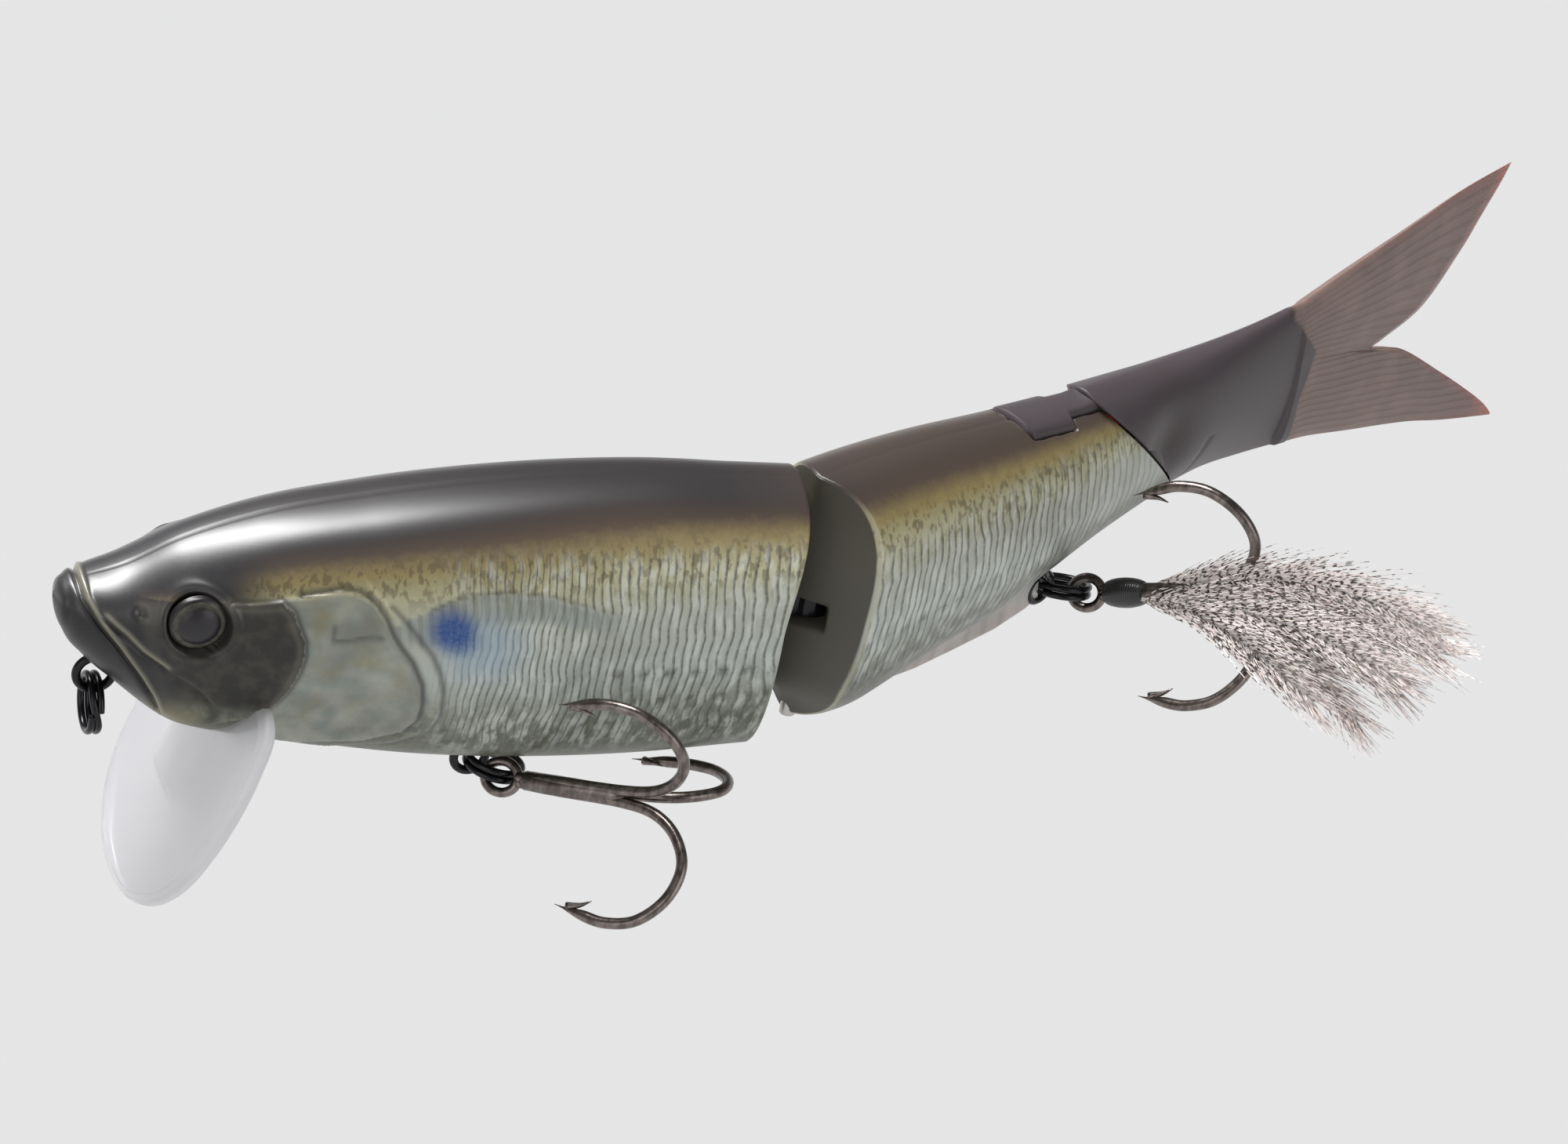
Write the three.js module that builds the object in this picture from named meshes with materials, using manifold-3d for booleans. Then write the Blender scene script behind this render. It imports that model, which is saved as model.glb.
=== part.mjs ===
// A two-section jointed swimbait: hollow head and rear sections on a vertical hinge pin,
// a clear diving lip, wire eyes, split rings, two treble hooks and a soft forked tail.
// Millimetres, +Z up. The head points along -X and the fish's left side faces -Y.
import * as THREE from 'three';
import { mergeVertices } from 'three/addons/utils/BufferGeometryUtils.js';
import Module from 'manifold-3d';

const wasm = await Module();
wasm.setup();

// ---- driving dimensions ----------------------------------------------------------------
// Lengths along the fish are measured from the hinge pin, heights from the mid-line.
const TIE = { x: -78.0, z: -7.6 };         // centre of the line-tie eye, the part's origin
const REST_BEND = 29;                      // degrees the rear section is swung to the right side
const GAP = 0.3;                           // clearance between pieces that touch
const WALL = 1.7;                          // shell thickness
const FRONT_CUT = -5.3;                    // flat rear face of the head section
const RIDGE = -4.2;                        // front edge of the rear section's wedge
const WEDGE_SLOPE = 0.5;                   // how fast the wedge sweeps back to each side
const PIN = { r: 0.9, low: -15.6, high: 11.5 };
const SLOT = { half: 1.75, radius: 3.2 };  // room for the hinge tongue in the wedge
const TONGUE = { thick: 2.4, half: 2.2, back: -17 };
const EYE = { x: -69.6, z: 3.4, r: 3.3 };
const WIRE = 0.5;                          // radius of the wire eyes
const LOOP = 1.75;                         // mean radius of the hook hangers' loops
const RING = { mean: 3.05, radial: 0.45, axial: 0.8 };
const HOOK = { wire: 0.6, shank: 14.5, reach: 23.0, gape: 13.4 };
const LIP = { thick: 1.8, lean: 65, base: [-65, -15.5] };

// Body sections: [x, top of back, keel, half width]
const HEAD_STATIONS = [
  [-83.3, 3.2, 1.0, 1.2], [-82.2, 4.4, -1.6, 3.2], [-80.1, 5.0, -4.2, 5.0], [-76.6, 6.0, -7.4, 6.5],
  [-70.6, 9.4, -12.4, 8.0], [-62.6, 12.2, -14.9, 9.2], [-50.6, 14.4, -17.0, 10.2],
  [-36.6, 15.9, -18.6, 10.5], [-20.6, 16.4, -19.1, 10.1], [-4, 15.2, -18.2, 9.2],
];
const REAR_STATIONS = [
  [-5, 15.9, -16.8, 9.2], [6, 15.5, -16.0, 9.1], [16, 14.6, -15.1, 8.7], [28, 13.0, -13.6, 7.7],
  [36, 12.0, -11.2, 6.8], [44, 11.2, -8.9, 5.7], [52, 10.8, -7.2, 4.7], [62, 10.6, -5.2, 3.6],
];

// ---- materials -------------------------------------------------------------------------
const material = (color, roughness, metalness, opacity = 1) =>
  new THREE.MeshStandardMaterial({ color, roughness, metalness, opacity, transparent: opacity < 1 });
const paint = material(0x8f947f, 0.3, 0.1);
const clearPlastic = material(0xd8d8dc, 0.15, 0, 0.4);
const eyePlastic = material(0x4a4654, 0.2, 0.2);
const steel = material(0x9a9a9c, 0.3, 0.9);
const blackNickel = material(0x5c5452, 0.32, 0.9);
const blackWire = material(0x2c2b2d, 0.35, 0.8);
const lead = material(0x77797c, 0.6, 0.7);
const softTail = material(0x5a4c4e, 0.5, 0);
const finPlastic = material(0xaaa8a4, 0.4, 0, 0.6);
const thread = material(0x171616, 0.6, 0);
const feather = material(0xa09894, 0.9, 0);
const abs = material(0xb9b6a8, 0.5, 0);

// ---- solid helpers ---------------------------------------------------------------------
function solid(geometry) {
  const bare = geometry.clone();
  bare.deleteAttribute('normal');
  bare.deleteAttribute('uv');
  const merged = mergeVertices(bare, 1e-4);
  return new wasm.Manifold(new wasm.Mesh({
    numProp: 3,
    vertProperties: new Float32Array(merged.attributes.position.array),
    triVerts: new Uint32Array(merged.index.array),
  }));
}

function geometryOf(manifold) {
  const mesh = manifold.getMesh();
  const geometry = new THREE.BufferGeometry();
  geometry.setAttribute('position', new THREE.BufferAttribute(new Float32Array(mesh.vertProperties), 3));
  geometry.setIndex(new THREE.BufferAttribute(new Uint32Array(mesh.triVerts), 1));
  return geometry;
}

const union = (parts) => parts.reduce((whole, next) => whole.add(next));

// A box given by its low and high corners.
function block([x0, y0, z0], [x1, y1, z1]) {
  const box = new THREE.BoxGeometry(x1 - x0, y1 - y0, z1 - z0);
  return solid(box.translate((x0 + x1) / 2, (y0 + y1) / 2, (z0 + z1) / 2));
}

// A round bar from one point to another.
function bar(from, to, radius, sides = 20, endRadius = radius) {
  const a = new THREE.Vector3(...from);
  const b = new THREE.Vector3(...to);
  const geometry = new THREE.CylinderGeometry(endRadius, radius, a.distanceTo(b), sides);
  const turn = new THREE.Quaternion().setFromUnitVectors(
    new THREE.Vector3(0, 1, 0), b.clone().sub(a).normalize());
  const middle = a.clone().add(b).multiplyScalar(0.5);
  return solid(geometry.applyQuaternion(turn).translate(middle.x, middle.y, middle.z));
}

// An outline in the XY plane carried up from z = low to z = high.
function prism(outline, low, high) {
  const shape = new THREE.Shape(outline.map(([x, y]) => new THREE.Vector2(x, y)));
  const geometry = new THREE.ExtrudeGeometry(shape, { depth: high - low, bevelEnabled: false });
  return solid(geometry.translate(0, 0, low));
}

// Round wire along a smooth open path.
function wire(points, radius, steps, sides = 10) {
  const path = new THREE.CatmullRomCurve3(points.map((p) => new THREE.Vector3(...p)), false, 'centripetal');
  const section = new THREE.Shape();
  section.absarc(0, 0, radius, 0, 2 * Math.PI);
  return solid(new THREE.ExtrudeGeometry(section, { steps, curveSegments: sides, extrudePath: path }));
}

// ---- body surface ----------------------------------------------------------------------
// One column of a station list at x, by a smooth cubic through the stations.
function stationValue(stations, column, x) {
  const last = stations.length - 1;
  let i = 0;
  while (i < last - 1 && stations[i + 1][0] < x) i++;
  const at = (k) => stations[Math.max(0, Math.min(last, k))];
  const slope = (k) => (at(k + 1)[column] - at(k - 1)[column]) / (at(k + 1)[0] - at(k - 1)[0]);
  const span = at(i + 1)[0] - at(i)[0];
  const t = Math.max(0, Math.min(1, (x - at(i)[0]) / span));
  return at(i)[column] * (1 + 2 * t) * (1 - t) ** 2 + slope(i) * span * t * (1 - t) ** 2
    + at(i + 1)[column] * t * t * (3 - 2 * t) + slope(i + 1) * span * t * t * (t - 1);
}

const softPower = (value, power) => Math.sign(value) * Math.abs(value) ** power;

// The closed curve around the body at x: a rounded egg, fullest 42% of the way down.
function sectionRing(stations, x, grow, count) {
  const [top, keel, half] = [1, 2, 3].map((column) => stationValue(stations, column, x));
  const middle = top - 0.42 * (top - keel);
  const ring = [];
  for (let i = 0; i < count; i++) {
    const angle = 2 * Math.PI * i / count;
    const [c, s] = [Math.cos(angle), Math.sin(angle)];
    const y = (half + grow) * softPower(c, s > 0 ? 0.88 : 0.98);
    const reach = s > 0 ? top - middle + grow : middle - keel + grow;
    ring.push([x, y, middle + reach * softPower(s, s > 0 ? 0.92 : 0.98)]);
  }
  return ring;
}

// Skin stretched over a list of rings, with a flat cap on each end.
function loft(rings) {
  const count = rings[0].length;
  const centre = (ring) => [0, 1, 2].map((axis) => ring.reduce((sum, p) => sum + p[axis], 0) / count);
  const points = [...rings.flat(), centre(rings[0]), centre(rings.at(-1))];
  const [first, final] = [points.length - 2, points.length - 1];
  const faces = [];
  for (let i = 0; i < count; i++) {
    const j = (i + 1) % count;
    for (let r = 0; r + 1 < rings.length; r++) {
      const [a, b] = [r * count + i, r * count + j];
      faces.push(a, b, b + count, a, b + count, a + count);
    }
    faces.push(first, j, i);
    faces.push(final, (rings.length - 1) * count + i, (rings.length - 1) * count + j);
  }
  const geometry = new THREE.BufferGeometry();
  geometry.setAttribute('position', new THREE.Float32BufferAttribute(points.flat(), 3));
  geometry.setIndex(faces);
  return solid(geometry);
}

function bodyLoft(stations, from, to, grow, rings, around) {
  const list = [];
  for (let r = 0; r <= rings; r++) {
    list.push(sectionRing(stations, from + (to - from) * r / rings, grow, around));
  }
  return loft(list);
}

// Splits a closed shell on its parting plane into left (-Y) and right (+Y) halves.
function halves(whole) {
  const side = (low, high) => whole.intersect(block([-120, low, -60], [120, high, 60]));
  return { left: side(-40, -GAP / 2), right: side(GAP / 2, 40) };
}

// ---- scene graph -----------------------------------------------------------------------
const lure = new THREE.Group();
const fish = new THREE.Group();
fish.position.set(-TIE.x, 0, -TIE.z);
lure.add(fish);
const rear = new THREE.Group();
rear.rotation.z = THREE.MathUtils.degToRad(REST_BEND);
fish.add(rear);

function add(parent, name, shape, look) {
  const mesh = new THREE.Mesh(shape.isBufferGeometry ? shape : geometryOf(shape), look);
  mesh.name = name;
  parent.add(mesh);
  return mesh;
}

// A group placed at a point, its X axis along one direction and its Z axis near another.
function placed(parent, position, along, up) {
  const x = new THREE.Vector3(...along).normalize();
  const y = new THREE.Vector3(...up).cross(x).normalize();
  const group = new THREE.Group();
  group.setRotationFromMatrix(new THREE.Matrix4().makeBasis(x, y, x.clone().cross(y)));
  group.position.set(...position);
  parent.add(group);
  return group;
}

// ---- wire eyes, rings and hooks --------------------------------------------------------
// A wire eye in the XZ plane: a round loop with its twisted shank let into the body.
function wireEye(centre, radius, toBody, length) {
  const [cx, cz] = centre;
  const loop = solid(new THREE.TorusGeometry(radius, WIRE, 10, 24).rotateX(Math.PI / 2));
  const root = [cx + toBody[0] * radius, 0, cz + toBody[1] * radius];
  const end = [cx + toBody[0] * (radius + length), 0, cz + toBody[1] * (radius + length)];
  return loop.translate([cx, 0, cz]).add(bar(root, end, 0.85, 12));
}

// The hole that a wire eye's shank needs in the shell.
function eyeHole(centre, radius, toBody, length) {
  const at = (d) => [centre[0] + toBody[0] * (radius + d), 0, centre[1] + toBody[1] * (radius + d)];
  const side = WIRE + GAP;
  return bar(at(-0.2), at(length + GAP), 0.85 + GAP, 12)
    .add(bar([centre[0], -side, centre[1]], [centre[0], side, centre[1]], radius + side, 24));
}

// A split ring's two coils as one ring with a flattened section, around local X.
function splitRing() {
  const section = new THREE.Shape();
  section.absellipse(0, 0, RING.radial, RING.axial, 0, 2 * Math.PI);
  const profile = section.getPoints(5).map((p) => new THREE.Vector2(RING.mean + p.x, p.y));
  return new THREE.LatheGeometry(profile, 28).rotateZ(-Math.PI / 2);
}

// Centre line of one hook in its own plane: out of the shank, round the bend, back to the point.
function hookPath(angle) {
  const { reach: far, gape } = HOOK;
  const line = [
    [HOOK.shank - 7, 0.62], [HOOK.shank, 0.75], [far - 4.4, 1.5], [far - 1.5, 3.6], [far, 6.8],
    [far - 0.9, 10.4], [far - 3.7, 13.2], [far - 7.2, gape + 0.6], [far - 11.2, gape - 0.3],
  ];
  return line.map(([x, r]) => [x, r * Math.cos(angle), r * Math.sin(angle)]);
}

// A treble hook along local +X from its eye at the origin, the first
// bend turned from +Y by the given degrees.
function trebleHook(turn, grow = 0) {
  const eye = solid(new THREE.TorusGeometry(1.85, 0.55, 8, 24).rotateX(Math.PI / 2).scale(1.08, 1, 0.92));
  const pieces = [eye, bar([2.1, 0, 0], [HOOK.shank, 0, 0], 0.95 + grow, 14)];
  for (let k = 0; k < 3; k++) {
    const angle = THREE.MathUtils.degToRad(turn + 120 * k);
    const path = hookPath(angle);
    pieces.push(wire(path, HOOK.wire + grow, 30, 8));
    const tip = path.at(-1);
    const inward = [tip[0] - 1.9, tip[1] * 0.98, tip[2] * 0.98];
    pieces.push(bar([tip[0] + 0.1, tip[1], tip[2]], inward, HOOK.wire, 8, 0.12));
  }
  return union(pieces);
}

// ---- head section ----------------------------------------------------------------------
const tieToBody = [0.70, 0.714];
const beltHanger = [-35.3, -20.2];
const rearHanger = [39.3, -13.2];

function lipOutline(grow = 0) {
  // Half width against distance down the lip: a broad shovel with a round end.
  const half = [[-9.5, 4.2], [-8.6, 11.6], [-4.5, 14.3], [0, 15.6], [5, 15.9], [10, 15.2], [14, 13.2], [17, 10.2], [19.2, 5.6]];
  const right = half.map(([s, w]) => new THREE.Vector2(w + grow, -s));
  const left = half.map(([s, w]) => new THREE.Vector2(-w - grow, -s)).reverse();
  const curve = new THREE.SplineCurve([...right, new THREE.Vector2(0, -19.9 - grow), ...left]);
  return new THREE.Shape(curve.getPoints(44));
}

// The lip stands in the YZ plane and is then leant forward about its base.
function lipPlate(grow) {
  const options = { depth: LIP.thick + 2 * grow, bevelEnabled: false };
  const plate = solid(new THREE.ExtrudeGeometry(lipOutline(grow), options));
  return plate.translate([0, 0, -LIP.thick / 2 - grow]).rotate([90, 0, 90])
    .rotate([0, 90 - LIP.lean, 0]).translate([LIP.base[0], 0, LIP.base[1]]);
}

function lipTongue(grow) {
  const tongue = block([-LIP.thick / 2 - grow, -4 - grow, -1], [LIP.thick / 2 + grow, 4 + grow, 11 + grow]);
  return tongue.rotate([0, 90 - LIP.lean, 0]).translate([LIP.base[0], 0, LIP.base[1]]);
}

function buildLip() {
  const boss = solid(new THREE.SphereGeometry(2, 18, 12).scale(1.1, 2.3, 2.2));
  const rib = boss.rotate([0, 90 - LIP.lean, 0]).translate([LIP.base[0] - 2.9, 0, LIP.base[1] - 4]);
  return lipPlate(0).add(rib).subtract(headOuter(GAP + 0.05)).add(lipTongue(0));
}

const headOuter = (grow) => bodyLoft(HEAD_STATIONS, -83.3 - grow, -4, grow, 30, 32);

function buildHeadShells() {
  const behindCut = block([FRONT_CUT, -30, -40], [20, 30, 40]);
  const cavity = bodyLoft(HEAD_STATIONS, -72, -13, -WALL, 14, 20);
  const tongueSlot = block([TONGUE.back - GAP, -TONGUE.half - GAP, -TONGUE.thick / 2 - GAP],
    [0, TONGUE.half + GAP, TONGUE.thick / 2 + GAP]);
  const whole = headOuter(0).subtract(behindCut).subtract(cavity).subtract(tongueSlot)
    .subtract(lipTongue(GAP))
    .subtract(eyeHole([TIE.x, TIE.z], 2.0, tieToBody, 6))
    .subtract(eyeHole(beltHanger, LOOP, [0, 1], 6))
    .subtract(bar([EYE.x, -20, EYE.z], [EYE.x, -6.6, EYE.z], EYE.r + GAP, 28))
    .subtract(bar([EYE.x, 6.6, EYE.z], [EYE.x, 20, EYE.z], EYE.r + GAP, 28));
  return halves(whole);
}

// A domed eye in its socket, facing -Y on the left side (side = -1) or +Y on the right.
function buildEye(side) {
  const profile = [[0, 0], [EYE.r, 0], [EYE.r, 0.5], [EYE.r * 0.8, 1.3], [EYE.r * 0.45, 1.75], [0, 1.9]];
  const dome = solid(new THREE.LatheGeometry(profile.map(([r, h]) => new THREE.Vector2(r, h)), 28));
  return dome.rotate([side < 0 ? 180 : 0, 0, 0]).translate([EYE.x, side * (6.6 + GAP), EYE.z]);
}

const shells = buildHeadShells();
add(fish, 'head_shell_left', shells.left, paint);
add(fish, 'head_shell_right', shells.right, paint);
add(fish, 'eye_left', buildEye(-1), eyePlastic);
add(fish, 'eye_right', buildEye(1), eyePlastic);
add(fish, 'diving_lip', buildLip(), clearPlastic);
add(fish, 'line_tie_eye', wireEye([TIE.x, TIE.z], 2.0, tieToBody, 6), blackWire);
add(fish, 'belly_hook_hanger', wireEye(beltHanger, LOOP, [0, 1], 6), blackWire);

const tieRing = placed(fish, [TIE.x, 0, TIE.z - 3.8], [1, 0, 0], [0, 0, 1]);
add(tieRing, 'line_tie_ring', splitRing(), blackWire);

function buildFrontBallast() {
  const bed = bodyLoft(HEAD_STATIONS, -54, -20, -WALL - GAP, 8, 20);
  return bed.intersect(block([-60, -30, -40], [-38.5, 30, -9.5]));
}
add(fish, 'front_ballast', buildFrontBallast(), lead);

function buildTongue() {
  const plate = block([TONGUE.back, -TONGUE.half, -TONGUE.thick / 2], [0, TONGUE.half, TONGUE.thick / 2]);
  const eye = bar([0, 0, -TONGUE.thick / 2], [0, 0, TONGUE.thick / 2], 2.8, 28);
  const hole = bar([0, 0, -5], [0, 0, 5], PIN.r + 0.2, 24);
  return plate.add(eye).subtract(hole);
}
add(fish, 'hinge_tongue', buildTongue(), steel);

// ---- rear section ----------------------------------------------------------------------
const rearOuter = (grow, rings = 22, around = 32) => bodyLoft(REAR_STATIONS, -5 - grow, 62, grow, rings, around);

// The slanting rear face, 45 degrees down and back, from the top of the back to the keel.
function behindSlant(offset) {
  const half = 40;
  const slab = block([0, -30, -half], [60, 30, half]);
  return slab.rotate([0, -45, 0]).translate([47 + offset, 0, 5.5]);
}

// The locking tab of the soft tail: a T seen from above, let into the back.
function tabOutline(grow) {
  return [[29 - grow, 2.4 + grow], [30 - grow, 3.4 + grow], [35.6 + grow, 3.4 + grow], [35.6 + grow, 2 + grow],
    [48, 2 + grow], [48, -2 - grow], [35.6 + grow, -2 - grow], [35.6 + grow, -3.4 - grow],
    [30 - grow, -3.4 - grow], [29 - grow, -2.4 - grow]];
}

function hingeSlot() {
  const mouth = 6.2;
  const outline = [[-9, -mouth - 1.5], [-1.2, -mouth], [1.6, -SLOT.radius + 0.4]];
  for (let i = 0; i <= 8; i++) {
    const angle = -Math.PI / 3 + 2 * Math.PI / 3 * i / 8;
    outline.push([SLOT.radius * Math.cos(angle), SLOT.radius * Math.sin(angle)]);
  }
  outline.push([1.6, SLOT.radius - 0.4], [-1.2, mouth], [-9, mouth + 1.5]);
  return prism(outline, -SLOT.half, SLOT.half);
}

function buildRearShells() {
  const ahead = prism([[-12, -20], [RIDGE + WEDGE_SLOPE * 20, -20], [RIDGE, 0],
    [RIDGE + WEDGE_SLOPE * 20, 20], [-12, 20]], -40, 40);
  const cavity = bodyLoft(REAR_STATIONS, 8, 27, -WALL, 6, 20);
  const pinBore = bar([0, 0, PIN.low - 6], [0, 0, PIN.high + GAP], PIN.r + GAP, 24);
  const tabRecess = prism(tabOutline(GAP), 0, 30).subtract(rearOuter(-1.5));
  const whole = rearOuter(0).subtract(ahead).subtract(cavity).subtract(hingeSlot()).subtract(pinBore)
    .subtract(behindSlant(0)).subtract(tabRecess).subtract(pegSolid(GAP))
    .subtract(eyeHole(rearHanger, LOOP, [0, 1], 6)).subtract(finRoot(GAP));
  return halves(whole);
}

// The hard peg that carries the soft tail, a tapered blade with a rounded end.
function pegSolid(grow) {
  const outline = [[41 - grow, -1.5 - grow], [56 + grow, -1.1 - grow], [56 + grow, 3.6 + grow], [41 - grow, 5 + grow]];
  const blade = prism(outline, -1.6 - grow, 1.6 + grow);
  return blade.rotate([90, 0, 0]);
}

// The flat root of the belly fin, let into the keel.
const finRoot = (grow) => block([15.4 - grow, -0.5 - grow, -20], [33.6 + grow, 0.5 + grow, -11.4 + grow]);

function buildBellyFin() {
  const outline = [[13, -14.4], [16, -17.2], [26, -17.1], [35.6, -15.7], [36.2, -14], [30, -12.6], [15, -13.6]];
  const blade = prism(outline, -0.5, 0.5).rotate([90, 0, 0]);
  const root = block([15.4, -0.5, -15], [33.6, 0.5, -11.4]);
  return blade.subtract(rearOuter(GAP + 0.05)).add(root);
}

const rearShells = buildRearShells();
add(rear, 'rear_shell_left', rearShells.left, paint);
add(rear, 'rear_shell_right', rearShells.right, paint);
add(rear, 'belly_fin', buildBellyFin(), finPlastic);
add(rear, 'hinge_pin', bar([0, 0, PIN.low], [0, 0, PIN.high], PIN.r, 24), steel);
add(rear, 'rear_hook_hanger', wireEye(rearHanger, LOOP, [0, 1], 6), blackWire);
add(rear, 'tail_peg', pegSolid(0), abs);

function buildRearBallast() {
  const bed = bodyLoft(REAR_STATIONS, 10, 26, -WALL - GAP, 4, 20);
  return bed.intersect(block([0, -30, -40], [40, 30, -10.0])).subtract(finRoot(GAP));
}
add(rear, 'rear_ballast', buildRearBallast(), lead);

// ---- soft tail -------------------------------------------------------------------------
// Wrist: half thickness falls from the slanting face to the fin's root.
const WRIST_STATIONS = [
  [40, 11.9, -6.6, 5.9], [48, 11.4, -6.2, 5.0], [57, 11.2, -5.6, 3.9], [64, 11.3, -5.4, 3.0],
  [70, 11.6, -5.9, 2.2], [76, 12.3, -6.6, 1.3],
];
const FLEX = { x: 66, r: 2.7 };            // where the soft tail bends, and its rounded front

function buildSleeve() {
  const body = bodyLoft(WRIST_STATIONS, 40.5, FLEX.x - 1.3, 0, 12, 24)
    .subtract(bar([FLEX.x, 0, -20], [FLEX.x, 0, 30], FLEX.r + GAP, 32));
  const ahead = block([-60, -30, -40], [0, 30, 40]).rotate([0, -45, 0]).translate([47 + GAP * 1.5, 0, 5.5]);
  const tab = prism(tabOutline(0), 0, 30).intersect(rearOuter(0.45)).subtract(rearOuter(-1.2));
  return body.subtract(ahead).subtract(pegSolid(GAP)).add(tab);
}

function buildTailFin() {
  const knuckle = bodyLoft(WRIST_STATIONS, FLEX.x - 4, FLEX.x + 1, 0, 3, 24)
    .intersect(bar([FLEX.x, 0, -20], [FLEX.x, 0, 30], FLEX.r, 32));
  const root = bodyLoft(WRIST_STATIONS, FLEX.x, 76, 0, 5, 24).add(knuckle);
  const outline = new THREE.Shape();
  outline.moveTo(70, 11.4);
  outline.splineThru([[76, 12.5], [83, 14.4], [92, 16.8], [102, 19.2], [110.4, 20.5]].map((p) => new THREE.Vector2(...p)));
  outline.splineThru([[106.7, 14.4], [104.3, 10.6], [99.2, 4.6], [93, 2.1], [91.2, 1.3]].map((p) => new THREE.Vector2(...p)));
  outline.splineThru([[97.2, -0.7], [105.9, -6.8], [115.1, -13.9], [117.5, -16.4]].map((p) => new THREE.Vector2(...p)));
  outline.splineThru([[108, -14], [100.4, -11.7], [89.3, -9.1], [79.2, -6.9], [70, -5.8]].map((p) => new THREE.Vector2(...p)));
  const blade = new THREE.ExtrudeGeometry(outline, { depth: 1.2, bevelEnabled: false, curveSegments: 8 });
  return root.add(solid(blade.translate(0, 0, -0.6).rotateX(Math.PI / 2)));
}
add(rear, 'tail_sleeve', buildSleeve(), softTail);
add(rear, 'tail_fin', buildTailFin(), softTail);

// ---- hooks -----------------------------------------------------------------------------
// Each split ring and hook lies swung out to the fish's left side.
const frontRing = placed(fish, [-32.6, -0.5, -20.8], [0.224, 0.106, 0.969], [0, 1, 0]);
add(frontRing, 'front_split_ring', splitRing(), blackWire);
const rearRing = placed(rear, [42.16, -0.9, -13.68], [0.25, 0.227, 0.941], [0, 1, 0]);
add(rearRing, 'rear_split_ring', splitRing(), blackWire);

const frontHook = placed(fish, [-32.5, -3.5, -20.5], [0.758, -0.610, 0.232], [0.163, 0.521, 0.838]);
add(frontHook, 'front_treble_hook', trebleHook(17), blackNickel);
const rearHook = placed(rear, [43.34, -3.7, -13.31], [0.288, -0.870, 0.401], [0.298, 0.479, 0.825]);
add(rearHook, 'rear_treble_hook', trebleHook(3), blackNickel);

// Thread whipping round the shank, and the feather it ties down.
function aroundShank(profile, sides) {
  const points = profile.map(([x, r]) => new THREE.Vector2(r, x));
  return new THREE.LatheGeometry(points, sides).rotateZ(-Math.PI / 2);
}
const whipping = [[2.9, 1.25], [3.4, 1.7], [5.6, 1.9], [7.2, 1.6], [7.4, 1.25], [2.9, 1.25]];
add(rearHook, 'thread_wrap', aroundShank(whipping, 20), thread);

// A flat plume in the plane of the hook's eye, hanging a little below the shank's line.
function buildFeather() {
  const outline = [[7.8, 1.7], [16, 2.7], [28, 1.2], [38, -1.4], [45, -5.5], [40, -7.6], [34, -14.6],
    [28.5, -11], [22, -6.4], [14, -3.2], [7.8, -1.8]];
  const plume = prism(outline, -2.2, 1.6).rotate([90, 0, 0]);
  const parts = plume.subtract(trebleHook(3, GAP)).decompose();
  return parts.sort((a, b) => b.volume() - a.volume())[0];
}
add(rearHook, 'hook_feather', buildFeather(), feather);

export default lure;
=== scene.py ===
"""A two-section jointed swimbait with a clear lip, treble hooks, a feather and a soft forked tail.

Lengths are millimetres from the hinge pin's middle: x back, y to the right side, z up; to_frame turns
them into the frame's metres. A body section at x is an egg of top T, keel B and half width W:
    y = W cos(a)^n,  z = m + (T - m) sin(a)^n above and m - (m - B) sin(a)^n below,  m = T - 0.42 (T - B)
with n a little under 1. Details are offsets of that skin, each a smooth step across the distance to a
short line of named points. Wires are circles swept along smooth curves. Everything random is seeded.
"""
import math

import bpy
import numpy as np
from mathutils import Matrix, Vector


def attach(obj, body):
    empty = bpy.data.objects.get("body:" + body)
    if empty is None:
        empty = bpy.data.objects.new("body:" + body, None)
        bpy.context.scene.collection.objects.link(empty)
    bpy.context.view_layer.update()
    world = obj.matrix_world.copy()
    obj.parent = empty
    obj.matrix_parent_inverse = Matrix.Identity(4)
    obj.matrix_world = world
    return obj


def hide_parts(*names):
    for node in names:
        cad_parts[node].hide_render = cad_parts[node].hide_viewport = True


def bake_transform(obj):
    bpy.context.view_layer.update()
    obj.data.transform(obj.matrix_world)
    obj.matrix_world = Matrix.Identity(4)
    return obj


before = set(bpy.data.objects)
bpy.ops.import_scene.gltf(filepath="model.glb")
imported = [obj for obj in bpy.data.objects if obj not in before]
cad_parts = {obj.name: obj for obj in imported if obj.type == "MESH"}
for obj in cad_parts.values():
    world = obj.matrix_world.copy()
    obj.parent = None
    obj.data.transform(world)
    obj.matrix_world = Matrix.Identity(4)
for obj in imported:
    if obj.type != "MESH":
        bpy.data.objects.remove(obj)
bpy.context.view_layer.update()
rng = np.random.default_rng(11)

# ---- where things are ----
TIE = np.array([-78.0, 0.0, -7.6])
BEND = math.radians(29)
EYE = (-69.4, 3.3)
# body stations: x, back, keel, half width
HEAD = np.array([
    (-83.5, 3.0, 2.2, 0.1), (-83.3, 3.4, 1.2, 1.2), (-82.2, 4.5, -1.6, 3.2), (-80.1, 5.1, -4.2, 4.9),
    (-76.6, 6.2, -7.4, 6.4), (-70.6, 9.4, -12.4, 7.9), (-62.6, 12.2, -14.9, 9.1), (-50.6, 14.4, -17.0, 10.1),
    (-36.6, 15.9, -18.6, 10.5), (-20.6, 16.4, -19.1, 10.1), (-4, 15.2, -18.2, 9.2)])
REAR = np.array([
    (-5, 15.9, -16.8, 9.2), (6, 15.5, -16.0, 9.1), (16, 14.6, -15.1, 8.7), (28, 13.0, -13.6, 7.7),
    (36, 12.0, -11.2, 6.8), (44, 11.2, -8.9, 5.7), (52, 10.8, -7.2, 4.7), (64, 10.5, -5.0, 3.4)])
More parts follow.
